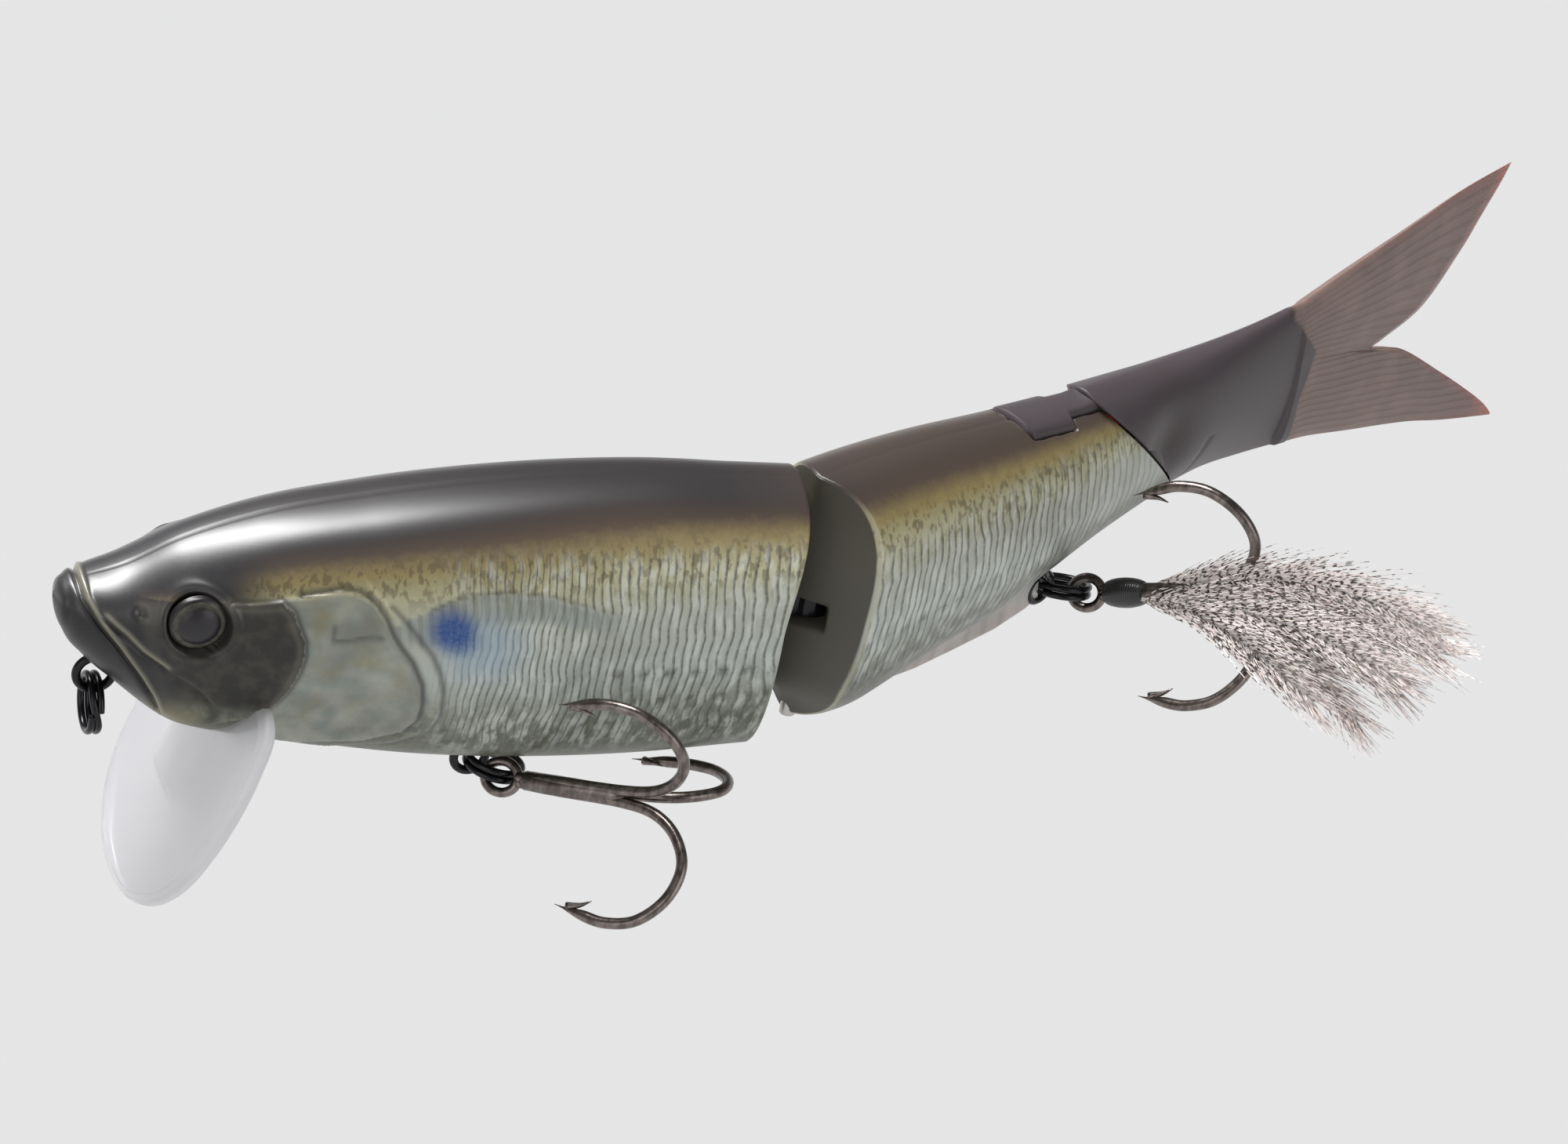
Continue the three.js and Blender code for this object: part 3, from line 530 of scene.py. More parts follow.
def head_skin():
    """The head section's skin with its details raised or sunk along each ring's normal, closed behind."""
    rows, cols = 400, 232
    a = np.linspace(0, 2 * np.pi, cols, endpoint=False)[None]
    first = -83.5 + 2.2 * np.linspace(0, 1, 26)[:, None] ** 2
    x = np.vstack([first, np.linspace(-81.3, -5.8, rows - 26)[1:, None]])
    p = section(HEAD, x, a)
    sx, sz = p[..., 0], p[..., 2]
    flank = smooth(1.2, 3.0, np.abs(p[..., 1]))  # details fade out before the back and the keel
    d = np.zeros(sx.shape)
    masks = {k: np.zeros(sx.shape) for k in MASKS}

    def darken(amount):
        masks["dark"] = np.maximum(masks["dark"], amount)

    def groove(line, depth, width, dark, lip=0.0, reach=(0, 1), over=False):
        """A V-shaped line in the skin darkened with painted shade, with a raised lip on its upper side carrying
        a painted highlight, over the nose when over is set.
        """
        nonlocal d
        dist, along, which = line_distance(sx, sz, line)
        start, stop = reach
        fade = smooth(start - 0.01, start + 0.08, along) * (1 - smooth(stop - 0.08, stop + 0.01, along))
        where = fade if over else fade * flank
        w = np.exp(-(dist / width) ** 2) * where
        d -= depth * w
        darken(dark * w)
        if lip:
            raised = np.exp(-((dist - 1.5 * width) / width) ** 2) * (which > 0) * where
            d += lip * raised
            masks["light"] = np.maximum(masks["light"], 0.40 * raised)

    groove(UPPER_LIP, 0.45, 0.32, 0.9, lip=0.08)
    groove(MOUTH, 0.60, 0.30, 0.9, lip=0.30, reach=(-0.2, 1.2), over=True)
    groove(JAW_CREASE, 0.30, 0.30, 0.7)
    groove(GILL_BAR, 0.22, 0.28, 0.45)
    # overlapping plates: the cheek over the gill cover over its membrane, with painted shade just below each
    # plate's edge and a faint painted highlight on the edge
    for line, rise, width, dark in ((CHEEK_EDGE, 0.38, 0.32, 0.75), (GILL_EDGE, 0.55, 0.42, 0.8),
                                    (MEMBRANE, 0.32, 0.36, 0.6)):
        dist, _, which = line_distance(sx, sz, line)
        signed = np.where(which < 0, dist, -dist)
        near = np.exp(-(dist / 3.2) ** 2)
        d += rise * (smooth(-0.30, 0.30, signed) - 0.35) * near * flank
        darken(dark * np.exp(-((signed + 0.25) / width) ** 2) * flank)
        masks["light"] = np.maximum(masks["light"], 0.10 * np.exp(-((signed - 0.55) / 0.35) ** 2) * flank)
    _, _, cheek_w = line_distance(sx, sz, CHEEK_EDGE)
    inside_cheek = (cheek_w < 0) & (sx < -57.5) & (sz < 7.5) & (sz > -11)
    gill_d, _, gill_w = line_distance(sx, sz, GILL_EDGE)
    inside_gill = (gill_w < 0) & (sx > -63) & (sx < -44) & (sz < 8.2) & (sz > -13.2) & ~inside_cheek
    masks["gill"] = inside_gill * smooth(0, 0.4, gill_d) * flank
    masks["cheek"] = inside_cheek * flank * smooth(-77, -72.5, sx + 0.25 * sz) * smooth(-9.5, -6.5, sz)
    masks["snout"] = np.maximum(smooth(-71, -75, sx + 0.35 * sz),
                                smooth(-60, -67, sx) * smooth(3.5, 7, sz))
    masks["jaw"] = np.exp(-((sx + 70.8) / 3.9) ** 2 - ((sz + 11.2) / 2.9) ** 2)
    masks["cheek"] *= 1 - masks["jaw"]
    # eye socket, darkened inside as painted shade
    r = np.hypot(sx - EYE[0], sz - EYE[1])
    d += (0.24 * np.exp(-((r - 3.95) / 0.45) ** 2) - 1.3 * (1 - smooth(3.0, 3.45, r))) * flank
    darken(flank * (1 - smooth(3.3, 3.6, r)))
    # nostril and a pit behind the jaw, darkened as painted shade; the pit is painted only, not sunk
    n = np.hypot(sx + 75.3, sz - 3.9)
    d -= 0.45 * np.exp(-(n / 0.55) ** 2) * flank
    darken(0.8 * np.exp(-(n / 0.5) ** 2) * flank)
    pit = np.hypot((sx + 66.5) / 0.7, (sz + 9.2) / 1.6)
    darken(0.8 * np.exp(-pit ** 2) * flank)
    # pectoral fin under its arched edge
    dist, along, which = line_distance(sx, sz, PECTORAL)
    under = np.where(which < 0, dist, 0)
    fin = smooth(0, 0.3, under) * (1 - smooth(3.6 - 2.2 * along, 5.2 - 2.2 * along, under))
    fin = fin * (1 - smooth(0.75, 1, along)) * flank
    masks["pectoral"] = fin
    d += 0.22 * fin
    darken(0.55 * np.exp(-(dist / 0.22) ** 2) * flank * (1 - smooth(0.7, 1, along)))
    spot = np.hypot((sx + 42.6 + 0.25 * (sz - 3.6)) / 3.3, (sz - 3.4) / 3.6)
    masks["spot"] = (1 - smooth(0.30, 1.15, spot)) * flank
    glow = np.hypot((sx + 39.0) / 7.0, (sz - 1.2) / 6.0)
    masks["glow"] = (1 - smooth(0.2, 1.0, glow)) * flank
    upper_row = np.exp(-((sz + 3.0 + 0.03 * (sx + 20)) / 0.55) ** 2)
    lower_row = np.exp(-((sz + 6.9) / 0.5) ** 2)
    masks["rows"] = (upper_row + lower_row) * smooth(-30, -22, sx)
    scales = smooth(-46, -38, sx) * smooth(-17, -12, sz) * (1 - smooth(9.5, 12.5, sz)) * flank
    masks["scales"] = scales * (1 - 0.35 * masks["pectoral"])
    # chin notch where the lip enters, darkened as painted shade, parting line
    notch = np.exp(-((sx + 60.6) / 1.3) ** 2) * smooth(-10.5, -14.5, sz)
    d -= 1.1 * notch
    darken(0.55 * notch)
    d -= 0.07 * np.exp(-(p[..., 1] / 0.12) ** 2) * smooth(-82, -78, sx)
    normal = np.stack([0 * sx, np.cos(a) + 0 * sx, np.sin(a) + 0 * sx], -1)
    p = p + normal * d[..., None]
    t = height(HEAD, section(HEAD, x, a))
    # round the rear rim and close the flat face behind it
    extra = []
    for grow, back in ((0.0, -5.5), (-0.12, -5.35), (-0.35, -5.3), (-1.0, -5.3), (-3.0, -5.3), (-6.0, -5.3)):
        ring = section(HEAD, np.full((1, 1), -5.5), a, grow)
        ring[..., 0] = back
        extra.append(ring)
    extra.append(np.broadcast_to(np.array([-5.3, 0.0, -1.0]), (1, cols, 3)))
    p = np.concatenate([p] + extra, 0)
    p[..., 0] += over_end(p[..., 2]) * smooth(-12, -5.6, p[..., 0])
    add = len(extra)
    t = np.vstack([t, np.broadcast_to(t[-1:], (add, cols))])
    face = np.zeros((add, cols))
    face[2:] = 1.0
    for k in masks:
        masks[k] = np.vstack([masks[k], face if k == "wedge" else np.zeros((add, cols))])
    uv = np.stack([p[..., 0] / 100, t], -1)
    return mesh("head_skin", to_frame(p), grid_quads(len(p), cols, wrap=True), PAINT, "front_section",
                ["head_shell_left", "head_shell_right"], uv, masks)


def eye(side):
    """A turned dome in a flat ring, side -1 for the left one."""
    profile = [(0.05, 3.28), (0.50, 3.22), (0.72, 3.1), (0.80, 2.95), (0.98, 2.75), (1.05, 2.5), (1.0, 2.32),
               (1.12, 2.2), (1.32, 1.9), (1.5, 1.5), (1.64, 1.0), (1.71, 0.5), (1.73, 0.0)]
    fine = curve(profile, np.linspace(0, 1, 60))
    name = "eye_left" if side < 0 else "eye_right"
    v, q, r = lathe(fine, 64, (EYE[0], side * 6.6, EYE[1]), (0, side, 0), (1, 0, 0))
    return mesh(name + "_dome", to_frame(v), q, EYES, "front_section", name, masks={"radius": r})


def diving_lip():
    """A flat plate p = root + down s + across w: its outline drawn in towards a point near the root, with
    a raised block 1.9 exp(-|w / wide|^3) high at the root and a stepped bevel round the edge."""
    half = [(-9.5, 4.2), (-8.6, 11.6), (-4.5, 14.3), (0, 15.6), (5, 15.9), (10, 15.2), (14, 13.2), (17, 10.2),
            (19.2, 5.6)]
    points = [(w, s) for s, w in half] + [(0, 19.9)] + [(-w, s) for s, w in half[::-1]]
    outline = even(points + [points[0]], 181)[:-1]
    lean = math.radians(65)
    root = np.array([-65.0, 0, -15.5])
    down = np.array([-math.cos(lean), 0, -math.sin(lean)])
    face = np.array([-math.sin(lean), 0, math.cos(lean)])
    middle = np.array([0.0, 5.0])
    plate = 0.85  # half its thickness

    def ring(shrink, lift, wide=None, far=None, near=None):
        xy = middle + (outline - middle) * shrink
        lift = np.full((len(xy), 1), lift)
        if wide:
            lift[:, 0] += 1.9 * np.exp(-np.abs(xy[:, 0] / wide) ** 3) * smooth(far, near, xy[:, 1])
        return root + xy[:, 1:2] * down + xy[:, 0:1] * np.array([0, 1.0, 0]) + lift * face

    rows = [ring(k, plate, 4.4, 8.2, 5.8) for k in np.linspace(0, 0.85, 40)]
    rows += [ring(0.93, plate, 4.6, 8.5, 5.5), ring(0.94, 0.82, 4.6, 8.5, 5.5)]
    bevel = [(0.95, 0.68), (0.97, 0.62), (0.99, 0.5), (1.0, 0.2), (1.0, -0.3), (0.99, -0.7)]
    rows += [ring(shrink, lift) for shrink, lift in bevel + [(0.97, -plate), (0.6, -plate), (0.0, -plate)]]
    p = np.array(rows)
    edge = np.zeros(p.shape[:2])
    edge[41:42 + len(bevel)] = 1
    return mesh("clear_lip", to_frame(p), grid_quads(len(p), p.shape[1], wrap=True, flip=True), CLEAR,
                "front_section", "diving_lip", masks={"edge": edge})


# ---- wire parts ----
def wire_eye(name, node, body, centre, radius, toward, rear=False):
    """A loop whose two legs cross and run into the body along toward (x, z)."""
    tx, tz = toward
    turn = np.radians(np.linspace(28, 332, 60))
    arc = radius * np.stack([np.cos(turn) * tx - np.sin(turn) * tz, 0 * turn,
                             np.cos(turn) * tz + np.sin(turn) * tx], -1)
    leg = np.array([tx, 0, tz])
    first = np.array([leg * (radius + 6) + (0, 0.35, 0), leg * (radius + 1.5) + (0, 0.35, 0)])
    last = np.array([leg * (radius + 1.5) + (0, -0.35, 0), leg * (radius + 6) + (0, -0.35, 0)])
    path = even(np.vstack([first, arc, last]), 110) + np.array([centre[0], 0, centre[1]])
    v, q = tube(path, 0.5, 14)
    return mesh(name, to_frame(v, rear), q, BLACK_WIRE, body, node)


def split_ring(name, node, body, centre, normal, rear=False):
    """Two flat turns of wire lying on each other, stepping across once."""
    n = np.array(normal, float)
    n /= np.linalg.norm(n)
    u = np.cross(n, [0.2, 0.1, 1.0] if abs(n[2]) < 0.9 else [1.0, 0.2, 0.0])
    u /= np.linalg.norm(u)
    w = np.cross(n, u)
    a = np.linspace(0, 4 * np.pi - 0.12, 150)
    lift = 0.42 * (2 * smooth(2 * np.pi - 0.7, 2 * np.pi + 0.7, a) - 1)
    path = np.array(centre) + 3.05 * (np.cos(a)[:, None] * u + np.sin(a)[:, None] * w) + lift[:, None] * n
    v, q = tube(path, 0.41, 12)
    return mesh(name, to_frame(v, rear), q, BLACK_WIRE, body, node)


def hook_axes(origin, along, up):
    """A hook's own axes: the middle of its eye, then along the shank, across it and up."""
    e1 = np.array(along, float) / np.linalg.norm(along)
    e2 = np.cross(up, e1)
    e2 /= np.linalg.norm(e2)
    return np.array(origin, float), e1, e2, np.cross(e1, e2)


def in_hook(axes, local):
    o, e1, e2, e3 = axes
    local = np.asarray(local, float)
    return o + local[..., 0:1] * e1 + local[..., 1:2] * e2 + local[..., 2:3] * e3


HOOK_LINE = [(2.0, 0.30), (4.5, 0.52), (7.5, 0.60), (14.5, 0.75), (18.6, 1.5), (21.5, 3.6), (23.0, 6.8),
             (22.1, 10.4), (19.3, 13.2), (15.8, 14.0), (12.6, 13.5), (9.6, 12.85)]


WIRE = 0.63  # radius of the hook wire


def treble(name, node, body, axes, turn, rear=False):
    """An eye, a soldered shank and three bends, each the same line turned about the shank."""
    loop = np.linspace(0, 2 * np.pi, 60)
    ring = np.stack([1.98 * np.cos(loop), 0 * loop, 1.7 * np.sin(loop)], -1)
    parts = [tube(in_hook(axes, ring), 0.55, 14)]
    line = even(HOOK_LINE, 120)
    radius = np.full(120, WIRE)
    radius *= 1 - 0.93 * smooth(0.90, 1.0, np.linspace(0, 1, 120))
    for k in range(3):
        a = math.radians(turn + 120 * k)
        out = np.array([math.cos(a), math.sin(a)])
        path = np.column_stack([line[:, 0], line[:, 1:2] * out])
        parts.append(tube(in_hook(axes, path), radius, 14))
        # the barb: a sliver lifted off the inside of the point
        barb = np.array([(11.0, 12.9), (12.6, 12.5), (13.7, 11.9)])
        barb = np.column_stack([barb[:, 0], barb[:, 1:2] * out])
        parts.append(tube(in_hook(axes, even(barb, 8)), np.linspace(0.5, 0.06, 8), 8))
    solder = [(2.3, 0.0), (2.35, 0.7), (2.9, 1.08), (8.0, 1.08), (13.6, 0.98), (14.6, 0.7), (15.0, 0.0)]
    v, q, _ = lathe(solder, 20, axes[0], axes[1], axes[2])
    parts.append((v, q))
    v, q = join(parts)
    return mesh(name, to_frame(v, rear), q, HOOK, body, node)


def thread_wrap(axes):
    """A turned barrel, r = 1.12 + 0.62 sin(pi s)^0.55, less a small |sin| for each turn of thread."""
    s = np.linspace(0, 1, 90)
    shape = 1.12 + 0.62 * np.sin(np.pi * np.clip(s, 0, 1)) ** 0.55
    turns = 0.055 * np.abs(np.sin(s * math.pi * 19))
    profile = np.column_stack([2.45 + 5.0 * s, shape - turns])
    profile = np.vstack([(2.45, 0.0), profile, (7.45, 0.0)])
    v, q, _ = lathe(profile, 32, axes[0], axes[1], axes[2])
    return mesh("thread_whipping", to_frame(v, True), q, THREAD, "rear_treble", "thread_wrap")


QUILLS = [  # along the shank, depth, up
    ([(7.0, 0.3, 0.6), (20, -2.2, 1.6), (33, -2.8, 0.4), (45, -2.0, -4.6)], 6.0),
    ([(7.0, 0.3, 0.4), (20, 0.5, 0.0), (33, 0.0, -2.6), (44, -0.5, -6.6)], 7.0),
    ([(7.0, -0.5, -0.3), (18, -2.6, -1.2), (30, -3.2, -4.6), (40, -2.5, -9.0)], 6.5),
    ([(7.0, 0.2, -0.6), (16, 0.6, -2.4), (26, 0.2, -7.2), (34, -0.6, -14.0)], 6.0),
    ([(7.0, 0.8, 0.8), (20, 2.2, 1.0), (32, 2.4, -0.6), (41, 1.8, -3.0)], 5.5),
    ([(7.0, -0.8, -0.6), (15, -3.2, -2.2), (23, -4.0, -6.4), (30, -3.0, -12.0)], 5.5),
    ([(7.0, 0.5, 0.0), (18, 2.4, -2.2), (30, 2.8, -6.0), (38, 2.0, -10.5)], 6.0),
]


def feather(axes):
    """Seven curved quills, each with a row of flat barbs along both sides that lean back and bow."""
    verts, quads, bars, quill, start = [], [], [], [], 0

    def ribbons(path, wide, bar, is_quill):
        """path: strands x points x 3; wide: half-width vectors of the same shape."""
        nonlocal start
        n, k, _ = path.shape
        p = np.stack([path - wide, path + wide], 2).reshape(n * k * 2, 3)
        s, i = np.meshgrid(np.arange(n), np.arange(k - 1), indexing="ij")
        base = (s * k + i) * 2
        q = np.stack([base, base + 1, base + 3, base + 2], -1).reshape(-1, 4)
        verts.append(p)
        quads.append(q + start)
        bars.append(np.repeat(bar.reshape(-1), 2))
        quill.append(np.full(len(p), is_quill))
        start += len(p)

    for line, reach in QUILLS:
        shaft = even(line, 60)
        tangent = np.gradient(shaft, axis=0)
        tangent /= np.linalg.norm(tangent, axis=1, keepdims=True)
        depth = np.array([0, 1.0, 0]) + rng.normal(0, 0.15, 3)
        out = np.cross(tangent, depth)
        out /= np.linalg.norm(out, axis=1, keepdims=True)
        flat = np.cross(tangent, out)
        width = np.linspace(0.24, 0.05, 60)[:, None]
        ribbons(shaft[None], (out * width)[None], np.linspace(0, 40, 60), 1.0)
        ribbons(shaft[None], (flat * width)[None], np.linspace(0, 40, 60), 1.0)
        for way in (-1, 1):
            n = 210
            s = np.clip(np.sort(rng.uniform(0.03, 1.0, n)), 0, 0.995)
            i = (s * 59).astype(int)
            swell = 0.45 + 0.75 * np.sin(np.pi * np.clip(s * 0.9 + 0.08, 0, 1)) ** 0.7
            size = reach * swell * rng.uniform(0.55, 1.35, n)
            size *= 0.45 + 0.55 * smooth(0.0, 0.25, s)
            lean = rng.uniform(0.22, 0.62, n)
            u = np.linspace(0, 1, 7)[None, :, None]
            along = tangent[i][:, None] * (np.cos(lean)[:, None, None] * u + 0.25 * u ** 2)
            across = way * out[i][:, None] * np.sin(lean)[:, None, None] * (u - 0.25 * u ** 2)
            puff = flat[i][:, None] * rng.normal(0, 0.16, n)[:, None, None] * u
            path = shaft[i][:, None] + size[:, None, None] * (along + across + puff)
            wide = np.cross(np.gradient(path, axis=1), flat[i][:, None])
            wide /= np.linalg.norm(wide, axis=2, keepdims=True) + 1e-9
            wide = wide * (0.085 * (1 - 0.7 * u)) * rng.uniform(0.7, 1.4, n)[:, None, None]
            bar = (s * 40 + rng.normal(0, 0.55, n))[:, None] + size[:, None] * u[..., 0]
            ribbons(path, wide, bar, 0.0)
    v = in_hook(axes, np.vstack(verts))
    return mesh("grizzly_feather", to_frame(v, True), np.vstack(quads), FEATHER, "rear_treble", "hook_feather",
                masks={"bars": np.concatenate(bars), "quill": np.concatenate(quill)})


# ---- rear section ----
def tab_half(x, grow=0.0):
    """Half width of the T-shaped tab at x, 0 in front of it."""
    wide = 3.3 * smooth(28.6 - grow, 29.3 - grow, x) - 1.3 * smooth(35.8 + grow, 36.2 + grow, x)
    return np.where(x < 28.6 - grow, 0, wide + grow)


RIDGE, SLOPE, ROUNDING = -3.95, 0.5, 0.9


def wedge_x(y, z):
    """The rear section's front face: x = RIDGE + SLOPE (sqrt(y^2 + ROUNDING^2) - ROUNDING), leaning back
    under the overhang and rounded away towards the keel."""
    lean = 1.05 * over_end(z) + 3.4 * smooth(-7.5, -17.0, z)
    return RIDGE + SLOPE * (np.hypot(y, ROUNDING) - ROUNDING) + lean


def rear_skin():
    """The wedge face, the skin from its rim to the slanting end under the sleeve, and a closing cap."""
    cols = 240
    a = np.linspace(0, 2 * np.pi, cols, endpoint=False)
    rim = np.zeros(cols)
    for _ in range(6):
        ring = section(REAR, rim, a)
        rim = wedge_x(ring[:, 1], ring[:, 2])
    end = np.full(cols, 50.0)
    for _ in range(8):
        end = 52.2 - section(REAR, end, a)[:, 2]
    rim_ring = section(REAR, rim, a, -0.25)
    wedge = []
    for f in np.concatenate([np.linspace(0, 0.92, 44), [0.96, 0.985, 1.0]]):
        row = rim_ring.copy()
        row[:, 1] *= f
        row[:, 0] = wedge_x(row[:, 1], row[:, 2])
        wedge.append(row)
    wedge = np.array(wedge)
    wedge[-1, :, 0] += 0.05
    pocket = (1 - smooth(1.35, 1.5, np.abs(wedge[..., 2]))) * (1 - smooth(4.4, 4.9, np.abs(wedge[..., 1])))
    deep = np.maximum(-0.6 - 0.35 * np.abs(wedge[..., 1]), 1.8 - 0.85 * np.abs(wedge[..., 1]))
    wedge[..., 0] += pocket * np.maximum(deep + 4.6 - 0.5 * np.abs(wedge[..., 1]) + 0.4, 0)
    s = np.linspace(0, 1, 330)[1:, None]
    x = rim + 0.18 + (end - rim - 0.18) * s
    body = section(REAR, x, a[None])
    body[0] = section(REAR, rim + 0.1, a, -0.06)
    sx, sy, sz = body[..., 0], body[..., 1], body[..., 2]
    top = sz > 8
    inside = tab_half(sx, 0.28) - np.abs(sy)
    cut = smooth(-0.05, 0.12, inside) * top * (sx > 28)
    d = -0.9 * cut - 0.07 * np.exp(-(sy / 0.12) ** 2)
    body = body + np.stack([0 * sx, np.cos(a) + 0 * sx, np.sin(a) + 0 * sx], -1) * d[..., None]
    last = body[-1:]
    centre = np.array([48.0, 0.0, 4.2])
    cap = np.concatenate([centre + (last - centre) * f for f in (0.96, 0.5, 0.0)], 0)
    p = np.concatenate([wedge, body, cap], 0)
    p[..., 2] += 1.5 * (1 - smooth(-3, 7, p[..., 0])) * smooth(-9, -16.5, p[..., 2])
    t = height(REAR, p)
    masks = {k: np.zeros(p.shape[:2]) for k in MASKS}
    nw, nb = len(wedge), len(body)
    masks["wedge"][:nw] = 1
    masks["wedge"][nw - 2:nw + 2] = 0.0
    # painted highlight along the rim where the wedge face meets the skin, fading towards the top
    masks["light"][nw - 1:nw + 1] = 0.5 * smooth(15.6, 12.0, p[nw - 1:nw + 1, :, 2])
    # painted shade in the slot for the hinge tongue
    masks["dark"][:nw] = pocket * 0.9
    bx = slice(nw, nw + nb)  # the painted skin's rows
    # painted shade in the recess the tail's tab sits in
    masks["dark"][bx] = cut * 0.9
    masks["scales"][bx] = smooth(-12, -6, sz) * (1 - smooth(7.5, 10.5, sz)) * (1 - smooth(30, 52, sx) * 0.6)
    masks["rows"][bx] = np.exp(-((sz + 2.0 - 0.06 * sx) / 0.5) ** 2) * (1 - smooth(15, 30, sx)) * 0.8
    band = smooth(-4.5, -7.5, sz - 0.10 * sx) * 0.5
    masks["dark"][bx] = np.maximum(masks["dark"][bx], band * 0.55)
    uv = np.stack([p[..., 0] / 100, t], -1)
    return mesh("rear_skin", to_frame(p, True), grid_quads(len(p), cols, wrap=True), PAINT, "rear_section",
                ["rear_shell_left", "rear_shell_right"], uv, masks)


FORK_TOP = [(106.7, 14.4), (104.3, 10.6), (99.2, 4.6), (93.0, 2.1), (91.2, 1.3)]
FORK_LOW = [(97.2, -0.7), (105.9, -6.8), (111.5, -11.0), (115.1, -13.9)]
TAIL_TOP = [(76, 12.5), (82.8, 14.4), (92.3, 16.8), (101.9, 19.3), (110.4, 20.6)]
TAIL_LOW = [(76, -6.7), (82.0, -7.5), (89.3, -9.2), (100.4, -11.8), (108, -14.1), (117.5, -16.6)]


def soft_tail():
    """The sleeve's rings run back from its slanting mouth to the wrist. From there to the forked edge the
    fin is a patch: a straight blend of wrist and edge, plus the bow of its upper and lower borders."""
    cols = 260
    a = np.linspace(0, 2 * np.pi, cols, endpoint=False)
    start = np.full(cols, 50.0)
    for _ in range(8):
        start = 52.7 - section(WRIST, start, a)[:, 2]
    s = np.linspace(0, 1, 120)[:, None]
    x = start + (76 - start) * s
    wrist = section(WRIST, x, a[None])
    edge = section(WRIST, start + 0.15, a, -0.35)
    edge[:, 0] = start - 0.02
    inner = section(WRIST, start + 2.0, a, -1.6)
    # a shallow hollow and a crease on each flank, below the back
    hollow = np.exp(-(((wrist[..., 0] - 51.8) / 3.8) ** 2 + ((wrist[..., 2] - 4.0) / 4.6) ** 2))
    crease = np.exp(-(((wrist[..., 0] - 59.5 - 0.35 * wrist[..., 2]) / 0.6) ** 2)) * (wrist[..., 2] < 2)
    wrist[..., 1] *= 1 - 0.24 * hollow - 0.06 * crease
    ridge = np.exp(-((wrist[..., 1] / 1.4) ** 2)) * (wrist[..., 2] > 8) * (1 - smooth(44, 62, wrist[..., 0]))
    wrist[..., 2] += 0.35 * ridge
    # the fin: a patch between the wrist's end and the forked edge
    f = (1 + power(np.sin(a), 0.95)) / 2
    fork = np.array([TAIL_TOP[-1]] + [(109.0, 18.0)] + FORK_TOP + FORK_LOW + [(117.1, -15.9)] + [TAIL_LOW[-1]])
    trail = even(fork, 400)
    edge_xz = np.stack([np.interp(1 - f, np.linspace(0, 1, 400), trail[:, k]) for k in (0, 1)], -1)
    root = np.stack([np.full(cols, 76.0), wrist[-1, :, 2]], -1)
    rows = []
    upper, lower = even(TAIL_TOP, 200), even(TAIL_LOW, 200)
    for u in np.linspace(0, 1, 110)[1:]:
        top = np.array([np.interp(u, np.linspace(0, 1, 200), upper[:, k]) for k in (0, 1)])
        bottom = np.array([np.interp(u, np.linspace(0, 1, 200), lower[:, k]) for k in (0, 1)])
        ruled = root * (1 - u) + edge_xz * u
        line_top = np.array(TAIL_TOP[0]) * (1 - u) + np.array(TAIL_TOP[-1]) * u
        line_low = np.array(TAIL_LOW[0]) * (1 - u) + np.array(TAIL_LOW[-1]) * u
        xz = ruled + f[:, None] * (top - line_top) + (1 - f[:, None]) * (bottom - line_low)
        thick = 1.6 * (1 - u) ** 1.2 + 0.42
        thick = thick * (1 - 0.75 * smooth(0.93, 1.0, u))
        y = thick * power(np.cos(a), 0.75)
        rows.append(np.stack([xz[:, 0], y, xz[:, 1]], -1))
    fin = np.array(rows)
    p = np.concatenate([inner[None], edge[None], wrist, fin], 0)
    # the sleeve's rounded end, a small step down to the fin
    arc = np.interp(p[..., 2], [-7, -0.1, 5.6, 11.0], [78.2, 77.6, 79.0, 74.6])
    past = smooth(-0.25, 0.35, p[..., 0] - arc)
    p[..., 1] *= 1 - 0.28 * past * (1 - smooth(0, 14, p[..., 0] - arc))
    uv = np.stack([p[..., 0] / 100, np.broadcast_to(f, (len(p), cols))], -1)
    rim = np.exp(-((p[..., 0] - arc) / 0.45) ** 2)
    # painted shade in the flank hollow; the rim term darkens a line along the sleeve's step to the fin
    shade = np.zeros(p.shape[:2])
    shade[2:2 + len(wrist)] = 0.8 * hollow
    masks = {"fin": past, "dark": np.maximum(0.55 * rim, shade)}
    obj = mesh("soft_tail_skin", to_frame(p, True), grid_quads(len(p), cols, wrap=True), TAIL, None,
               ["tail_sleeve", "tail_fin"], uv, masks)
    a0, a1 = to_frame(np.array([[60.0, 0, 2], [72.0, 0, 2]]), True)
    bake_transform(obj)
    return obj


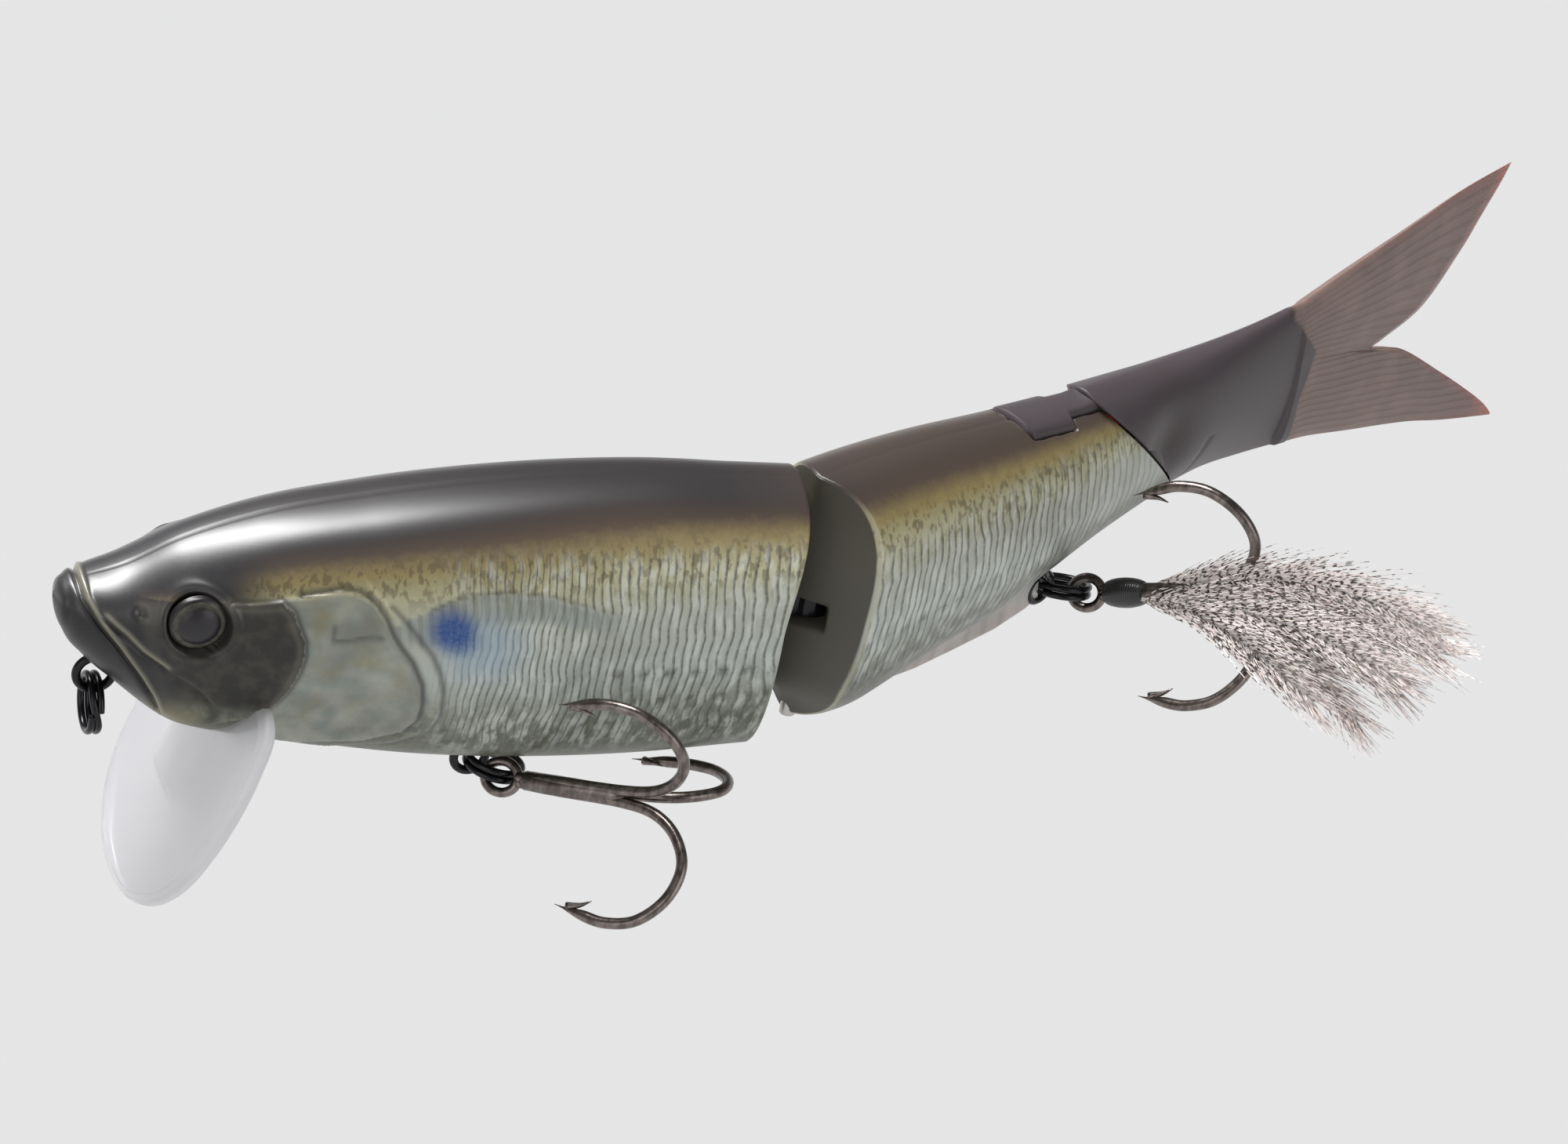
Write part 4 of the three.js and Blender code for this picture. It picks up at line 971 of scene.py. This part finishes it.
def sleeve_tab():
    """The T-shaped tab of the soft tail, standing just proud of the back."""
    x = np.concatenate([[28.95], np.linspace(29, 35.7, 44), np.linspace(35.8, 36.3, 8),
                        np.linspace(36.5, 43.5, 30)])
    half = tab_half(x)
    half[:2] = 2.6
    b = np.linspace(-1, 1, 41)
    y = half[:, None] * b
    top, keel, wide = (column(REAR, k, x)[:, None] for k in (1, 2, 3))
    m = top - 0.42 * (top - keel)
    c = np.clip(np.abs(y) / wide, 0, 0.98) ** (1 / 0.88)
    z = m + (top - m) * np.sqrt(1 - c * c) ** 0.92 + 0.48 + 0.5 * smooth(38, 43, x)[:, None]
    z -= 0.35 * np.abs(b[None]) ** 14
    p = np.stack([np.broadcast_to(x[:, None], y.shape), y, z], -1)
    skirt = np.array([0, 0, 1.5])
    p = np.concatenate([p[:, :1] - skirt, p, p[:, -1:] - skirt], 1)
    p = np.concatenate([p[:1] - skirt, p], 0)
    uv = np.stack([p[..., 0] / 100, p[..., 1] / 10], -1)
    zero = np.zeros(p.shape[:2])
    return mesh("sleeve_tab", to_frame(p, True), grid_quads(len(p), p.shape[1], flip=True), TAIL, "rear_section",
                None, uv, {"fin": zero, "dark": zero})


def belly_fin():
    """A thin blade between the keel and its lower edge, its two faces meeting at that edge."""
    u = np.linspace(0, 1, 120)
    x = 13.5 + 24.5 * u
    root = column(REAR, 2, x) + 0.5
    low = np.interp(x, [13.5, 16, 20, 26, 32, 36.5, 38], [-15.6, -17.0, -17.25, -17.0, -16.6, -15.5, -14.6])
    v = np.linspace(0, 1, 14)[:, None]
    z = root * (1 - v) + low * v
    shift = 1.2 * v * smooth(0.5, 1, u)
    half = (0.55 - 0.3 * v) + 0 * z
    half[-1] = 0.04
    left = np.stack([x + shift, -half, z], -1)
    right = np.stack([x + shift, half, z], -1)
    p = np.concatenate([left, right[::-1]], 0)
    uv = np.stack([0 * p[..., 0], np.broadcast_to(x / 60, p.shape[:2])], -1)
    one = np.ones(p.shape[:2])
    return mesh("belly_fin_skin", to_frame(p, True), grid_quads(len(p), 120, flip=True), FIN, "rear_section",
                "belly_fin", uv, {"fin": one, "dark": 0 * one})


# ---- build ----
head_skin()
eye(-1)
eye(1)
diving_lip()
wire_eye("line_tie_wire", "line_tie_eye", "front_section", (TIE[0], TIE[2]), 2.0, (0.70, 0.714))
wire_eye("belly_hanger_wire", "belly_hook_hanger", "front_section", (-35.3, -20.2), 1.75, (0.0, 1.0))
wire_eye("rear_hanger_wire", "rear_hook_hanger", "rear_section", (39.3, -13.2), 1.75, (0.0, 1.0), rear=True)
split_ring("line_tie_coils", "line_tie_ring", "line_ring", (TIE[0], 0, TIE[2] - 3.8), (1, 0, 0))
split_ring("front_coils", "front_split_ring", "front_ring", (-32.6, -0.5, -20.8), (0.224, 0.106, 0.969))
split_ring("rear_coils", "rear_split_ring", "rear_ring", (42.16, -0.9, -13.68), (0.25, 0.227, 0.941), rear=True)
front_axes = hook_axes((-32.5, -3.5, -20.5), (0.758, -0.610, 0.232), (0.163, 0.521, 0.838))
rear_axes = hook_axes((43.34, -3.7, -13.31), (0.288, -0.870, 0.401), (0.298, 0.479, 0.825))
treble("front_treble_wire", "front_treble_hook", "front_treble", front_axes, 17)
treble("rear_treble_wire", "rear_treble_hook", "rear_treble", rear_axes, 3, rear=True)
thread_wrap(rear_axes)
feather(rear_axes)
rear_skin()
soft_tail()
sleeve_tab()
belly_fin()
for node, finish in (("hinge_pin", STEEL), ("hinge_tongue", BLACK_WIRE)):
    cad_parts[node].data.materials.clear()
    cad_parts[node].data.materials.append(finish)

# ---- stage, light, camera ----
floor_mesh = bpy.data.meshes.new("floor")
floor_mesh.from_pydata([(-4, -4, -0.11), (4, -4, -0.11), (4, 4, -0.11), (-4, 4, -0.11)], [], [(0, 1, 2, 3)])
floor = bpy.data.objects.new("floor", floor_mesh)
bpy.context.scene.collection.objects.link(floor)
floor_mesh.materials.append(plain("floor_grey", (0, 0, 0), 1.0, Specular_IOR_Level=0.0, Emission_Strength=1.0,
                                  Emission_Color=(0.785, 0.785, 0.79, 1)))


def softbox(name, size, power_w, direction, distance, centre=(0.07, 0, 0)):
    data = bpy.data.lights.new(name, "AREA")
    data.shape, data.size, data.size_y, data.energy = "RECTANGLE", size[0], size[1], power_w
    light = bpy.data.objects.new(name, data)
    bpy.context.scene.collection.objects.link(light)
    d = np.array(direction, float) / np.linalg.norm(direction)
    light.location = np.array(centre) + d * distance
    light.rotation_mode = "QUATERNION"
    light.rotation_quaternion = Vector(-d).to_track_quat("-Z", "Y")


softbox("overhead", (0.26, 0.95), 21.0, (-0.22, 0.40, 0.90), 1.0, (0.02, 0, 0.01))
softbox("front_left", (0.9, 0.9), 3.2, (-0.8, -0.75, 0.35), 1.3)
softbox("right_fill", (0.9, 0.9), 4.0, (0.7, -0.9, 0.35), 1.3)

world = bpy.data.worlds.new("studio")
bpy.context.scene.world = world
world.use_nodes = True
sky = world.node_tree.nodes["Background"].inputs
sky[0].default_value, sky[1].default_value = (0.82, 0.82, 0.83, 1), 0.22

scene = bpy.context.scene
scene.view_settings.view_transform = "Standard"
az, el, roll = math.radians(-21), math.radians(33), math.radians(10.2)
toward = np.array([math.sin(az) * math.cos(el), -math.cos(az) * math.cos(el), math.sin(el)])
level = np.array([math.cos(az), math.sin(az), 0])
upright = np.cross(toward, level)
right = math.cos(roll) * level + math.sin(roll) * upright
up = -math.sin(roll) * level + math.cos(roll) * upright
camera = bpy.data.cameras.new("camera")
camera.lens, camera.sensor_width, camera.sensor_fit = 191.2, 36, "HORIZONTAL"
camera.shift_x, camera.shift_y = -0.0155, 0.01375
camera.clip_start, camera.clip_end = 0.01, 20
view = bpy.data.objects.new("camera", camera)
scene.collection.objects.link(view)
place = np.eye(4)
place[:3] = np.column_stack([right, up, toward, to_frame(np.zeros(3)) + 0.9 * toward])
view.matrix_world = Matrix(place.tolist())
scene.camera = view
